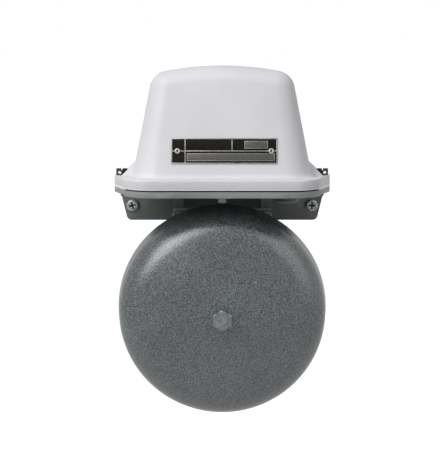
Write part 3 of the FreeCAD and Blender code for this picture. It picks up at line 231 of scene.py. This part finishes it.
def castingEnamel():
    # grey stove enamel sprayed smooth on the cast base and its bracket: satin, nearly even, with a
    # faint orange peel, and painted shade darkening the plate behind the tray, from unshaded to fully
    # shaded
    look = {
        "low": "#7b817e", "high": "#8b908c", "rough": 0.45, "cloud": 22.0, "peel": 1.6,
        "relief": (0.06, 0.4), "trayShade": "#5e635f", "shadeStart": -16.0, "shadeFull": -8.0,
    }
    material, tree, shader, place = newFinish("castingEnamel", look["high"], look["rough"])
    colour = patchy(tree, shader, place, look["low"], look["high"], look["cloud"])
    depth = addNode(tree, "ShaderNodeSeparateXYZ", {0: place}).outputs["Y"]
    # painted shade: the plate behind the tray darkens with depth, standing in for the tray's shadow on
    # it
    behind = addNode(
        tree,
        "ShaderNodeMapRange",
        {"Value": depth, "From Min": look["shadeStart"] * mm, "From Max": look["shadeFull"] * mm},
    )
    mix = addNode(
        tree,
        "ShaderNodeMix",
        {0: behind.outputs[0], 6: colour, 7: linear(look["trayShade"])},
        data_type="RGBA",
    )
    tree.links.new(mix.outputs[2], shader.inputs["Base Color"])
    peel = addNode(
        tree, "ShaderNodeTexNoise", {"Vector": place, "Scale": perMm(look["peel"]), "Detail": 3.0}
    )
    bumped(tree, shader, peel.outputs[0], *look["relief"])
    return material


def stoveEnamel():
    # pale grey stove enamel on cast metal: satin, with a faint orange peel, and a near-white band
    # along the cover's lowest edge, just above the seam
    look = {
        "low": "#d1d1d5", "high": "#d9d8dc", "rough": 0.5, "cloud": 46.0, "peel": 2.2,
        "relief": (0.05, 0.35), "lip": "#f9f6f3", "lipHeight": 0.45, "lipFade": 0.25,
    }
    material, tree, shader, place = newFinish("stoveEnamel", look["high"], look["rough"])
    colour = patchy(tree, shader, place, look["low"], look["high"], look["cloud"])
    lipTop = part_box("cover_gasket")[1].z + look["lipHeight"] * mm
    height = addNode(tree, "ShaderNodeSeparateXYZ", {0: place}).outputs["Z"]
    lip = addNode(
        tree,
        "ShaderNodeMapRange",
        {"Value": height, "From Min": lipTop + look["lipFade"] * mm, "From Max": lipTop},
    )
    mix = addNode(
        tree, "ShaderNodeMix", {0: lip.outputs[0], 6: colour, 7: linear(look["lip"])}, data_type="RGBA"
    )
    tree.links.new(mix.outputs[2], shader.inputs["Base Color"])
    peel = addNode(
        tree, "ShaderNodeTexNoise", {"Vector": place, "Scale": perMm(look["peel"]), "Detail": 2.0}
    )
    bumped(tree, shader, peel.outputs[0], *look["relief"])
    return material


def windingTape():
    # polyester winding tape: glossy amber film pulled tight over the wire, in soft ridges; the wave
    # goes on by one radian in every 0.45 mm, so the ridges stand 2.8 mm apart
    look = {
        "colour": "#c99a3c", "rough": 0.3, "coat": 0.4, "tones": ("#bb8a2e", "#d5aa50"), "patch": 11.0,
        "wave": 0.45, "relief": (0.05, 0.35),
    }
    material, tree, shader, place = newFinish(
        "windingTape", look["colour"], look["rough"], **{"Coat Weight": look["coat"]}
    )
    patchy(tree, shader, place, *look["tones"], look["patch"])
    ridges = addNode(
        tree,
        "ShaderNodeTexWave",
        {"Vector": place, "Scale": perMm(look["wave"]) / 20, "Distortion": 0.4, "Detail": 1.0},
        bands_direction="Z",
    )
    bumped(tree, shader, ridges.outputs[1], *look["relief"])
    return material


# The other finishes have two tones in patches, a gloss that varies with a fine grain, and most of
# them a relief of that grain; patch and grain are in millimetres
plainLooks = {
    # zinc-plated steel gone dull with age: grey with a clouded plating, bright only on edges
    "zincPlatedSteel": {
        "colour": "#70767a", "rough": 0.34, "metal": 0.75, "tones": ("#5c6264", "#7d8385"),
        "patch": 2.4, "gloss": (0.26, 0.46), "grain": 1.2, "relief": (0.03, 0.4),
    },
    # the same zinc plating, painted paler for the wall screws as painted light on heads that lie in
    # shade, with a soft sheen
    "litZinc": {
        "colour": "#8d9291", "rough": 0.4, "metal": 0.5, "tones": ("#757b7a", "#9ea3a1"),
        "patch": 1.8, "gloss": (0.3, 0.48), "grain": 0.8, "relief": (0.02, 0.3),
    },
    # blackened steel screws: dark brown oxide with rubbed, greyer patches
    "blackenedSteel": {
        "colour": "#2c231c", "rough": 0.42, "metal": 0.75, "tones": ("#1d1612", "#4a4038"),
        "patch": 1.6, "gloss": (0.34, 0.6), "grain": 0.8,
    },
    # turned brass: warm yellow with fine rings left by the tool
    "turnedBrass": {
        "colour": "#b8975a", "rough": 0.28, "metal": 1.0, "tones": ("#a5824a", "#c7a868"),
        "patch": 5.0, "gloss": (0.2, 0.4), "grain": 0.5, "stretch": (0.3, 0.3, 4.0),
        "relief": (0.02, 0.3),
    },
    # vulcanised fibre washer: dull oxide red with a papery grain
    "redFibre": {
        "colour": "#7a3a2c", "rough": 0.75, "tones": ("#6b3026", "#8a4a38"),
        "patch": 0.9, "gloss": (0.65, 0.85), "grain": 0.5, "relief": (0.04, 0.5),
    },
    # bare soft iron, sheared and bent: mid grey with rolling marks and a trace of oil
    "softIron": {
        "colour": "#7f8080", "rough": 0.42, "metal": 1.0, "tones": ("#6b6c6c", "#90918f"),
        "patch": 9.0, "gloss": (0.3, 0.52), "grain": 0.7, "stretch": (1, 1, 0.15),
        "relief": (0.02, 0.4),
    },
    # drawn spring wire: smooth dark grey steel
    "springWire": {
        "colour": "#84878a", "rough": 0.3, "metal": 1.0, "tones": ("#6f7275", "#96999b"),
        "patch": 1.5, "gloss": (0.24, 0.38), "grain": 0.4,
    },
    # natural nylon moulding: milky off-white, light passes a little way in
    "naturalNylon": {
        "colour": "#d8d2c0", "rough": 0.46, "tones": ("#cdc6b2", "#dfd9c9"),
        "patch": 7.0, "gloss": (0.4, 0.54), "grain": 1.0, "relief": (0.02, 0.3),
        "sockets": {"Subsurface Weight": 0.12, "Subsurface Scale": 1.5 * mm},
    },
    # phenolic moulding: glossy black with a brownish cast and flow marks
    "blackPhenolic": {
        "colour": "#191817", "rough": 0.3, "tones": ("#141312", "#23211f"),
        "patch": 4.0, "gloss": (0.24, 0.4), "grain": 1.4, "relief": (0.02, 0.3),
    },
    # PVC sleeving on the coil's leads: soft red, slightly glossy
    "redSleeving": {
        "colour": "#98231c", "rough": 0.4, "tones": ("#8a1d18", "#a52c23"),
        "patch": 6.0, "gloss": (0.34, 0.48), "grain": 0.8, "relief": (0.02, 0.3),
    },
    # glass-filled nylon gland: mid grey with a dry moulded grain
    "greyNylon": {
        "colour": "#555a5a", "rough": 0.55, "tones": ("#4d5252", "#5e6363"),
        "patch": 5.0, "gloss": (0.48, 0.66), "grain": 0.6, "relief": (0.03, 0.4),
    },
    # etched nameplate, filled black: flat satin black with a fine brushed grain
    "blackPlate": {
        "colour": "#14110f", "rough": 0.6, "tones": ("#110e0c", "#1a1614"),
        "patch": 6.0, "gloss": (0.52, 0.7), "grain": 0.3, "stretch": (0.06, 1, 1),
        "relief": (0.01, 0.3), "sockets": {"Specular IOR Level": 0.1},
    },
    # etched fields of the nameplate: bare aluminium stippled dark, so they read as dark grey
    "greyField": {
        "colour": "#41423f", "rough": 0.55, "metal": 0.25, "tones": ("#2f302d", "#5a5b57"),
        "patch": 0.5, "gloss": (0.42, 0.6), "grain": 0.4, "relief": (0.03, 0.5),
    },
    # bare aluminium lines and rivets: pale, softly brushed along the plate
    "plainAluminium": {
        "colour": "#a3a19c", "rough": 0.42, "metal": 0.8, "tones": ("#8b8984", "#b4b2ae"),
        "patch": 2.0, "gloss": (0.3, 0.46), "grain": 0.3, "stretch": (0.08, 1, 1),
    },
    # moulded rubber: matt black, a little dusty
    "gasketRubber": {
        "colour": "#1b1b1b", "rough": 0.75, "tones": ("#151515", "#252525"),
        "patch": 4.0, "gloss": (0.68, 0.85), "grain": 0.6, "relief": (0.03, 0.4),
    },
    # painted shade for the walls of a screw's recess and a rivet's sunk centre, out of the light: near
    # black
    "recessShade": {
        "colour": "#15120f", "rough": 0.8, "tones": ("#0f0d0b", "#201c18"), "patch": 0.8,
    },
    # turned nylon striker tip: cream, dulled where it hits
    "strikerNylon": {
        "colour": "#c9bfa6", "rough": 0.5, "tones": ("#bcb199", "#d3cab3"),
        "patch": 1.4, "gloss": (0.44, 0.6), "grain": 0.5,
    },
}


def plainFinish(name, look):
    # one of the looks above, without the parts that it leaves out
    material, tree, shader, place = newFinish(
        name, look["colour"], look["rough"], look.get("metal", 0.0), **look.get("sockets", {})
    )
    patchy(tree, shader, place, *look["tones"], look["patch"])
    if "gloss" in look:
        stretch = look.get("stretch", (1, 1, 1))
        grain = rough(tree, shader, place, *look["gloss"], look["grain"], stretch)
        if "relief" in look:
            bumped(tree, shader, grain, *look["relief"])
    return material


plain = {name: plainFinish(name, look) for name, look in plainLooks.items()}
finishes = {
    "hammertone": hammertoneEnamel(),
    "casting_enamel": castingEnamel(),
    "cover_enamel": stoveEnamel(),
    "gasket_rubber": plain["gasketRubber"],
    "zinc_plate": plain["zincPlatedSteel"],
    "dark_screw": plain["blackenedSteel"],
    "brass": plain["turnedBrass"],
    "fibre": plain["redFibre"],
    "magnet_steel": plain["softIron"],
    "spring_steel": plain["springWire"],
    "bobbin_plastic": plain["naturalNylon"],
    "winding_tape": windingTape(),
    "terminal_plastic": plain["blackPhenolic"],
    "lead_sleeve": plain["redSleeving"],
    "gland_plastic": plain["greyNylon"],
    "black_plate": plain["blackPlate"],
    "rivet_aluminium": plain["plainAluminium"],
    "striker_plastic": plain["strikerNylon"],
}
bodies = frame["record"]["behaviour"]["bodies"]
bodyOf = {node: body for body, members in bodies.items() for node in members}
slotOf = {part["node"]: part["material_slot"] for part in frame["record"]["subparts"]}
for name, obj in nodes.items():
    obj.data.materials.clear()
    obj.data.materials.append(finishes[slotOf[name]])
print("materials ready")


# Modelling tools

def alone(obj):
    # nothing but this object selected
    bpy.ops.object.select_all(action="DESELECT")
    obj.select_set(True)
    bpy.context.view_layer.objects.active = obj


def inEdit(obj, *steps):
    # edit-mode operators on all of one object's mesh
    alone(obj)
    bpy.ops.object.mode_set(mode="EDIT")
    bpy.ops.mesh.select_all(action="SELECT")
    for operator, options in steps:
        operator(**options)
    bpy.ops.object.mode_set(mode="OBJECT")


def modified(obj, kind, **settings):
    # one modifier, set up and applied
    alone(obj)
    modifier = obj.modifiers.new(kind.title(), kind)
    for name, value in settings.items():
        setattr(modifier, name, value)
    bpy.ops.object.modifier_apply(modifier=modifier.name)


def settle(obj):
    # place, turn and scale go into the mesh
    alone(obj)
    bpy.ops.object.transform_apply(location=True, rotation=True, scale=True)


def smooth(obj, angle=32):
    alone(obj)
    bpy.ops.object.shade_smooth_by_angle(angle=math.radians(angle))


def finished(obj, name, body, slot, material=None, replaced=()):
    # named, painted, riding on its body, and standing for its CAD nodes
    obj.name = name
    obj.data.name = name
    obj.data.materials.clear()
    obj.data.materials.append(material or finishes[slot])
    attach(obj, body)
    if replaced:
        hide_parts(*replaced)
    return obj


# Softening: merge in millimetres, flat and corner in degrees
softening = {"merge": 0.002, "flat": 0.4, "corner": 28, "segments": 2}


def softCopy(node, name, width):
    # a CAD node's own shape with its triangles merged and its hard edges rounded
    source = nodes[node]
    piece = source.copy()
    piece.data = source.data.copy()
    bpy.context.scene.collection.objects.link(piece)
    piece.parent = None
    piece.matrix_world = Matrix.Identity(4)
    alone(piece)
    if piece.data.has_custom_normals:
        bpy.ops.mesh.customdata_custom_splitnormals_clear()
    inEdit(
        piece,
        (bpy.ops.mesh.remove_doubles, {"threshold": softening["merge"] * mm}),
        (bpy.ops.mesh.dissolve_limited, {"angle_limit": math.radians(softening["flat"])}),
    )
    modified(
        piece,
        "BEVEL",
        width=width * mm,
        segments=softening["segments"],
        limit_method="ANGLE",
        angle_limit=math.radians(softening["corner"]),
        harden_normals=False,
        use_clamp_overlap=True,
    )
    smooth(piece)
    return finished(piece, name, bodyOf[node], slotOf[node], replaced=(node,))


# Castings and pressings whose CAD shape is right: their hard edges are rounded as paint and tools
# leave them, by this many millimetres
softened = {
    "base_casting": ("baseCasting", 0.6),
    "cover": ("coverShell", 0.5),
    "gong_bracket": ("gongBracket", 0.4),
    "wall_screw_left": ("wallScrewLeft", 0.05),
    "wall_screw_right": ("wallScrewRight", 0.05),
    "cover_screw_left": ("coverScrewLeft", 0.15),
    "cover_screw_right": ("coverScrewRight", 0.15),
    "gong_bolt": ("gongBolt", 0.12),
    "guide_bush": ("guideBush", 0.25),
    "magnet_frame": ("magnetFrame", 0.35),
    "magnet_top": ("magnetTop", 0.35),
    "terminal_block": ("terminalBlock", 0.3),
    "gland_nut": ("glandNut", 0.3),
    "gland_body": ("glandBody", 0.3),
    "gland_locknut": ("glandLocknut", 0.3),
    "cover_gasket": ("coverGasket", 0.1),
}
copies = {node: softCopy(node, name, width) for node, (name, width) in softened.items()}
print("softened copies ready")


def darkRecess(node):
    # the walls and floor of a wall screw's cross recess, told by where they are and how they face,
    # painted near black as shade
    recess = {
        "reach": 3.0 * mm, "shallow": 0.25 * mm, "floor": 1.0 * mm, "deep": 2.2 * mm, "steep": 0.6,
    }
    low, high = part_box(node)
    axis = (low + high) / 2
    screw = copies[node]
    # painted light: the screw head takes a paler, lit copy of the zinc
    screw.data.materials[0] = plain["litZinc"]
    screw.data.materials.append(plain["recessShade"])
    # painted shade: faces in the recess take the near-black shade
    for face in screw.data.polygons:
        across = math.hypot(face.center.x - axis.x, face.center.z - axis.z)
        sunk = face.center.y - low.y
        wall = recess["shallow"] < sunk < recess["deep"] and abs(face.normal.y) < recess["steep"]
        if across < recess["reach"] and (wall or recess["floor"] < sunk < recess["deep"]):
            face.material_index = 1


def turned(node, angle):
    # a screw's copy turned about its own axis, as far as it happens to be screwed in
    low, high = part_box(node)
    options = {"value": math.radians(angle), "orient_axis": "Y", "center_override": (low + high) / 2}
    inEdit(copies[node], (bpy.ops.transform.rotate, options))


for node in ("wall_screw_left", "wall_screw_right"):
    darkRecess(node)
turned("wall_screw_right", 48)  # its cross stands upright, as in the photo


def lathe(spots, sides, hollow=False):
    # rings of radius and height about Z, each drawn from the last; capped, or joined round if hollow
    bpy.ops.object.select_all(action="DESELECT")
    bpy.ops.mesh.primitive_circle_add(vertices=sides, radius=spots[0][0], location=(0, 0, spots[0][1]))
    shape = bpy.context.object
    settle(shape)
    bpy.ops.object.mode_set(mode="EDIT")
    bpy.ops.mesh.select_all(action="SELECT")
    for before, after in zip(spots, spots[1:]):
        bpy.ops.mesh.extrude_region_move(TRANSFORM_OT_translate={"value": (0, 0, after[1] - before[1])})
        ratio = after[0] / before[0]
        bpy.ops.transform.resize(value=(ratio, ratio, 1), center_override=(0, 0, after[1]))
    bpy.ops.mesh.select_all(action="DESELECT")
    bpy.ops.mesh.select_non_manifold()
    if hollow:
        bpy.ops.mesh.bridge_edge_loops()
    else:
        bpy.ops.mesh.fill_holes(sides=0)
    bpy.ops.mesh.select_all(action="SELECT")
    bpy.ops.mesh.normals_make_consistent(inside=False)
    bpy.ops.object.mode_set(mode="OBJECT")
    return shape


# Gong: a lathe-round steel dish

def gongDish():
    low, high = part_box("gong")
    radius = (high.x - low.x) / 2
    centre = Vector(((low.x + high.x) / 2, high.y, (low.z + high.z) / 2))
    dish = {
        "depth": high.y - low.y, "wall": 2.2 * mm, "skirt": 18 * mm, "draft": 1.4 * mm,
        "shoulder": 22 * mm, "hole": 4.3 * mm, "rim": 0.9 * mm, "sides": 192,
    }
    steps = {"skirt": 6, "shoulder": 24, "dome": 18, "rim": 8}
    slant = math.atan2(dish["draft"], dish["skirt"])
    across = radius - dish["draft"] - dish["shoulder"] * math.cos(slant)
    centreHeight = dish["skirt"] - dish["shoulder"] * math.sin(slant)
    drop = dish["depth"] - centreHeight
    dome = (across ** 2 + drop ** 2 - dish["shoulder"] ** 2) / (2 * (drop - dish["shoulder"]))
    lean = math.atan2(across, dome - drop)  # where the shoulder's arc meets the dome

    def section(inset):
        # radius and height of the skirt, shoulder and dome, drawn in by the wall
        bend, crown = dish["shoulder"] - inset, dome - inset
        foot = radius - inset / math.cos(slant)
        start = (across + bend * math.cos(slant), centreHeight + bend * math.sin(slant))
        spots = []
        for i in range(1, steps["skirt"] + 1):
            share = i / steps["skirt"]
            spots.append((foot + (start[0] - foot) * share, start[1] * share))
        for i in range(1, steps["shoulder"] + 1):
            turn = slant + (math.pi / 2 - lean - slant) * i / steps["shoulder"]
            spots.append((across + bend * math.cos(turn), centreHeight + bend * math.sin(turn)))
        first = math.asin(dish["hole"] / crown)
        for i in range(1, steps["dome"] + 1):
            turn = lean + (first - lean) * i / steps["dome"]
            spots.append((crown * math.sin(turn), dish["depth"] - dome + crown * math.cos(turn)))
        return spots

    rim = []
    half = dish["wall"] / 2
    middle = radius - half
    for i in range(steps["rim"] + 1):
        turn = math.pi * i / steps["rim"]
        rim.append((middle - half * math.cos(turn), dish["rim"] - dish["rim"] * math.sin(turn)))
    spots = section(dish["wall"])[::-1] + rim + section(0.0)
    gong = lathe(spots, dish["sides"], hollow=True)
    gong.rotation_euler = (math.pi / 2, 0, 0)
    gong.location = centre
    settle(gong)
    smooth(gong, 50)
    return finished(gong, "gongDish", "base", "hammertone", replaced=("gong",))


gongDish()
print("gong ready")


# Nameplate: a black plate with bare lines and two grey fields, without any lettering

plate = {
    "line": 0.5, "hair": 0.24, "edge": 0.12, "proud": 0.05, "sunk": 0.02, "eased": 0.03,
    "column": 9.3, "divider": 41.6,
    "lowField": (10.8, 71.1, 2.0, 7.1), "highField": (50.4, 66.5, 10.6, 15.7),
}


def plateStand():
    # the CAD plate's front face: a matrix from its lower left corner, and its two sizes
    mesh = nodes["nameplate"].data
    front = max(mesh.polygons, key=lambda face: face.area if face.normal.y < 0 else 0)
    out = front.normal.copy()
    across = Vector((1, 0, 0))
    up = out.cross(across)
    spots = [vertex.co for vertex in mesh.vertices]
    low = [min(spot.dot(way) for spot in spots) for way in (across, up)]
    high = [max(spot.dot(way) for spot in spots) for way in (across, up)]
    face = max(spot.dot(out) for spot in spots)
    stand = Matrix((across, up, out)).transposed().to_4x4()
    stand.translation = across * low[0] + up * low[1] + out * face
    return stand, high[0] - low[0], high[1] - low[1]


def bar(left, right, low, high, proud):
    # a raised bar in the plate's plane, its foot a little way into the plate and its edges eased
    sunk = plate["sunk"] * mm
    bpy.ops.object.select_all(action="DESELECT")
    bpy.ops.mesh.primitive_cube_add(
        size=1,
        location=((left + right) / 2, (low + high) / 2, (proud - sunk) / 2),
        scale=(right - left, high - low, proud + sunk),
    )
    strip = bpy.context.object
    settle(strip)
    inEdit(strip, (bpy.ops.mesh.bevel, {"offset": plate["eased"] * mm, "segments": 2}))
    return strip


def joined(parts, stand):
    # several parts made one piece and stood on the plate
    alone(parts[0])
    for part in parts:
        part.select_set(True)
    bpy.ops.object.join()
    piece = parts[0]
    piece.matrix_world = stand
    settle(piece)
    smooth(piece)
    return piece


def ruled(left, right, low, high, width):
    # the four bars round a rectangle
    proud = plate["proud"] * mm
    return [
        bar(left, right, low, low + width, proud),
        bar(left, right, high - width, high, proud),
        bar(left, left + width, low + width, high - width, proud),
        bar(right - width, right, low + width, high - width, proud),
    ]


def nameplate():
    stand, wide, tall = plateStand()
    line, hair, edge, proud = (plate[name] * mm for name in ("line", "hair", "edge", "proud"))
    column, divider = plate["column"] * mm, plate["divider"] * mm
    middle = tall / 2
    lines = ruled(edge, wide - edge, edge, tall - edge, line)
    lines.append(bar(column, column + line, edge + line, tall - edge - line, proud))
    lines.append(bar(edge + line, column, middle - hair, middle + hair, proud))
    lines.append(bar(column + line, wide - edge - line, middle - hair, middle + hair, proud))
    lines.append(bar(divider, divider + line, middle + hair, tall - edge - line, proud))
    fields = []
    for name in ("lowField", "highField"):
        left, right, low, high = (amount * mm for amount in plate[name])
        lines += ruled(left, right, low, high, hair)
        fields.append(bar(left + hair, right - hair, low + hair, high - hair, proud / 2))
    finished(joined(lines, stand), "nameplateLines", "cover", "rivet_aluminium")
    finished(joined(fields, stand), "nameplateFields", "cover", "black_plate", plain["greyField"])


def nameplateRivets():
    # hollow drive rivets: a bright ring round a sunk centre painted dark as shade; lengths in
    # millimetres, then
    # shares of the height (flank, lip), of the hole (taper, pit, dark) and of its depth (point)
    rivet = {
        "radius": 1.9, "height": 0.7, "ring": 1.05, "hole": 0.8, "sunk": 0.45, "foot": 0.02,
        "flank": 0.35, "lip": 0.9, "taper": 0.9, "pit": 0.2, "dark": 0.97, "point": 1.1,
        "sides": 40, "steps": 5,
    }
    low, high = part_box("nameplate_rivets")
    stand, wide, tall = plateStand()
    radius, height = rivet["radius"] * mm, rivet["height"] * mm
    ring, hole, sunk = rivet["ring"] * mm, rivet["hole"] * mm, rivet["sunk"] * mm
    flank = rivet["flank"]
    spots = [(radius, -rivet["foot"] * mm), (radius, height * flank)]
    for i in range(1, rivet["steps"] + 1):
        turn = math.pi / 2 * i / rivet["steps"]
        rise = flank + (1 - flank) * math.sin(turn)
        spots.append((ring + (radius - ring) * math.cos(turn), height * rise))
    spots.append((hole, height * rivet["lip"]))
    spots.append((hole * rivet["taper"], height - sunk))
    spots.append((hole * rivet["pit"], height - sunk * rivet["point"]))
    heads = [lathe(spots, rivet["sides"])]
    copy = heads[0].copy()
    copy.data = heads[0].data.copy()
    bpy.context.scene.collection.objects.link(copy)
    heads.append(copy)
    centre = wide / 2
    reach = (high.x - low.x) / 2 - radius
    for head, side in zip(heads, (-1, 1)):
        head.location = (centre + side * reach, tall / 2, 0)
        settle(head)
    rivets = finished(
        joined(heads, stand),
        "nameplateRivets",
        "cover",
        "rivet_aluminium",
        replaced=("nameplate_rivets",),
    )
    # painted shade: faces near each rivet's axis take the near-black recess shade
    rivets.data.materials.append(plain["recessShade"])
    axes = [stand @ Vector((centre + side * reach, tall / 2, 0)) for side in (-1, 1)]
    out = stand.col[2].to_3d()
    for face in rivets.data.polygons:
        if min((face.center - foot).cross(out).length for foot in axes) < rivet["dark"] * hole:
            face.material_index = 1


softCopy("nameplate", "nameplatePlate", 0.12)
nameplate()
nameplateRivets()
print("nameplate ready")


# Coil winding under its tape

def tapedWinding():
    # narrow tape wound up the coil, each turn lapping over the one below
    winding = {
        "core": 10.25 * mm, "laps": 7, "lap": 0.28 * mm, "edge": 0.3 * mm, "eased": (0.3, 0.7),
        "sides": 96,
    }
    low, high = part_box("coil_winding")
    radius, tall = (high.x - low.x) / 2, high.z - low.z
    pitch = tall / winding["laps"]
    inward, down = winding["eased"]
    spots = [(winding["core"], 0), (winding["core"], tall)]
    for i in range(winding["laps"]):
        top = tall - i * pitch
        foot = top - pitch + winding["edge"]
        spots += [(radius - winding["lap"], top), (radius, foot)]
        spots.append((radius - inward * winding["lap"], foot - down * winding["edge"]))
    spots.append((radius - winding["lap"], 0))
    coil = lathe(spots, winding["sides"], hollow=True)
    coil.location = ((low.x + high.x) / 2, (low.y + high.y) / 2, low.z)
    settle(coil)
    smooth(coil)
    finished(coil, "tapedWinding", "base", "winding_tape", replaced=("coil_winding",))


tapedWinding()
print("winding ready")


# Return spring

def returnSpring():
    spring = {"wire": 0.45 * mm, "turns": 6, "steps": 40, "round": 12}
    low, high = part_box("return_spring")
    middle = (low + high) / 2
    radius = (high.x - low.x) / 2 - spring["wire"]
    rise = (high.z - low.z - 2 * spring["wire"]) / spring["turns"]
    bpy.ops.object.select_all(action="DESELECT")
    bpy.ops.mesh.primitive_circle_add(
        vertices=spring["round"],
        radius=spring["wire"],
        location=(radius, 0, 0),
        rotation=(math.pi / 2, 0, 0),
    )
    wire = bpy.context.object
    settle(wire)
    modified(
        wire,
        "SCREW",
        angle=2 * math.pi,
        screw_offset=rise,
        iterations=spring["turns"],
        steps=spring["steps"],
        render_steps=spring["steps"],
        use_normal_calculate=True,
    )
    alone(wire)
    bpy.ops.object.mode_set(mode="EDIT")
    bpy.ops.mesh.select_all(action="DESELECT")
    bpy.ops.mesh.select_non_manifold()
    bpy.ops.mesh.edge_face_add()
    bpy.ops.mesh.select_all(action="SELECT")
    bpy.ops.mesh.normals_make_consistent(inside=False)
    bpy.ops.object.mode_set(mode="OBJECT")
    wire.location = (middle.x, middle.y, low.z + spring["wire"])
    settle(wire)
    smooth(wire, 60)
    wire.name = "returnSpringWire"
    wire.data.materials.append(finishes["spring_steel"])
    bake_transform(wire)
    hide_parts("return_spring")


returnSpring()
print("spring ready")


# Floor, world, lamps and camera

def seenRay(tree):
    # 1 where the camera looks, straight or through a reflection or clear stuff
    ray = addNode(tree, "ShaderNodeLightPath", {}).outputs
    seen = ray["Is Camera Ray"]
    for kind in ("Is Glossy Ray", "Is Transmission Ray"):
        either = addNode(tree, "ShaderNodeMath", {0: seen, 1: ray[kind]}, operation="MAXIMUM")
        seen = either.outputs[0]
    return seen


def paleFloor():
    # the bell hangs on a wall, so the floor lies well under it and keeps its shadow
    paper = {"size": 30.0, "drop": 0.42, "glow": 0.93, "colour": "#a4a4a4", "rough": 0.9}
    bpy.ops.object.select_all(action="DESELECT")
    place = (0, 0, cadBox[0].z - paper["drop"])
    bpy.ops.mesh.primitive_plane_add(size=paper["size"], location=place)
    floor = bpy.context.object
    floor.name = "paleFloor"
    settle(floor)
    material = bpy.data.materials.new("palePaper")
    material.use_nodes = True
    tree = material.node_tree
    shader = tree.nodes["Principled BSDF"]
    shader.inputs["Base Color"].default_value = linear(paper["colour"])
    shader.inputs["Roughness"].default_value = paper["rough"]
    shader.inputs["Emission Color"].default_value = linear("#ffffff")
    glow = addNode(tree, "ShaderNodeMapRange", {"Value": seenRay(tree), "To Max": paper["glow"]})
    tree.links.new(glow.outputs[0], shader.inputs["Emission Strength"])
    floor.data.materials.append(material)


def world():
    # white where it is seen, and a dim light on everything else
    levels = {"To Min": 0.16, "To Max": 1.0}
    scene = bpy.context.scene
    scene.world = bpy.data.worlds.new("studio")
    scene.world.use_nodes = True
    tree = scene.world.node_tree
    background = tree.nodes["Background"]
    background.inputs["Color"].default_value = linear("#ffffff")
    strength = addNode(tree, "ShaderNodeMapRange", {"Value": seenRay(tree), **levels})
    tree.links.new(strength.outputs[0], background.inputs["Strength"])


# Lamps, all aimed near the middle of the bell; the back one isn't seen in its gloss
aim = Vector((0, -0.05, -0.03))
lamps = {
    "keyLamp": {"place": (-0.72, -0.76, 0.76), "size": (0.9, 1.1), "watts": 16.2, "mirrored": True},
    "fillLamp": {"place": (0.95, -0.6, 0.6), "size": (1.1, 1.1), "watts": 4.6, "mirrored": True},
    "backLamp": {"place": (0, 1.6, -0.1), "size": (2.0, 1.6), "watts": 10, "mirrored": False},
}


def softbox(name, place, size, watts, mirrored):
    bpy.ops.object.light_add(type="AREA", location=place)
    lamp = bpy.context.object
    lamp.name = name
    lamp.data.shape = "RECTANGLE"
    lamp.data.size, lamp.data.size_y = size
    lamp.data.energy = watts
    lamp.visible_glossy = mirrored
    lamp.rotation_euler = (aim - Vector(place)).to_track_quat("-Z", "Y").to_euler()


def camera():
    # calibrated on the gong, the wall screws and the cover's seam, in the 441 x 470 picture; focal
    # length and height in its pixels, place in millimetres
    shot = {
        "focal": 1549.0, "tall": 470.0, "sensor": 36.0, "place": (-1.2, -1133.0, 153.56), "down": 8.86,
    }
    data = bpy.data.cameras.new("camera")
    data.sensor_width = shot["sensor"]
    data.lens = shot["focal"] / shot["tall"] * data.sensor_width
    view = bpy.data.objects.new("camera", data)
    bpy.context.scene.collection.objects.link(view)
    view.location = Vector(shot["place"]) * mm
    view.rotation_euler = (math.radians(90 - shot["down"]), 0, 0)
    bpy.context.scene.camera = view


paleFloor()
world()
for name, lamp in lamps.items():
    softbox(name, **lamp)
camera()
settings = bpy.context.scene.view_settings
settings.view_transform = "Standard"
print("stage ready")
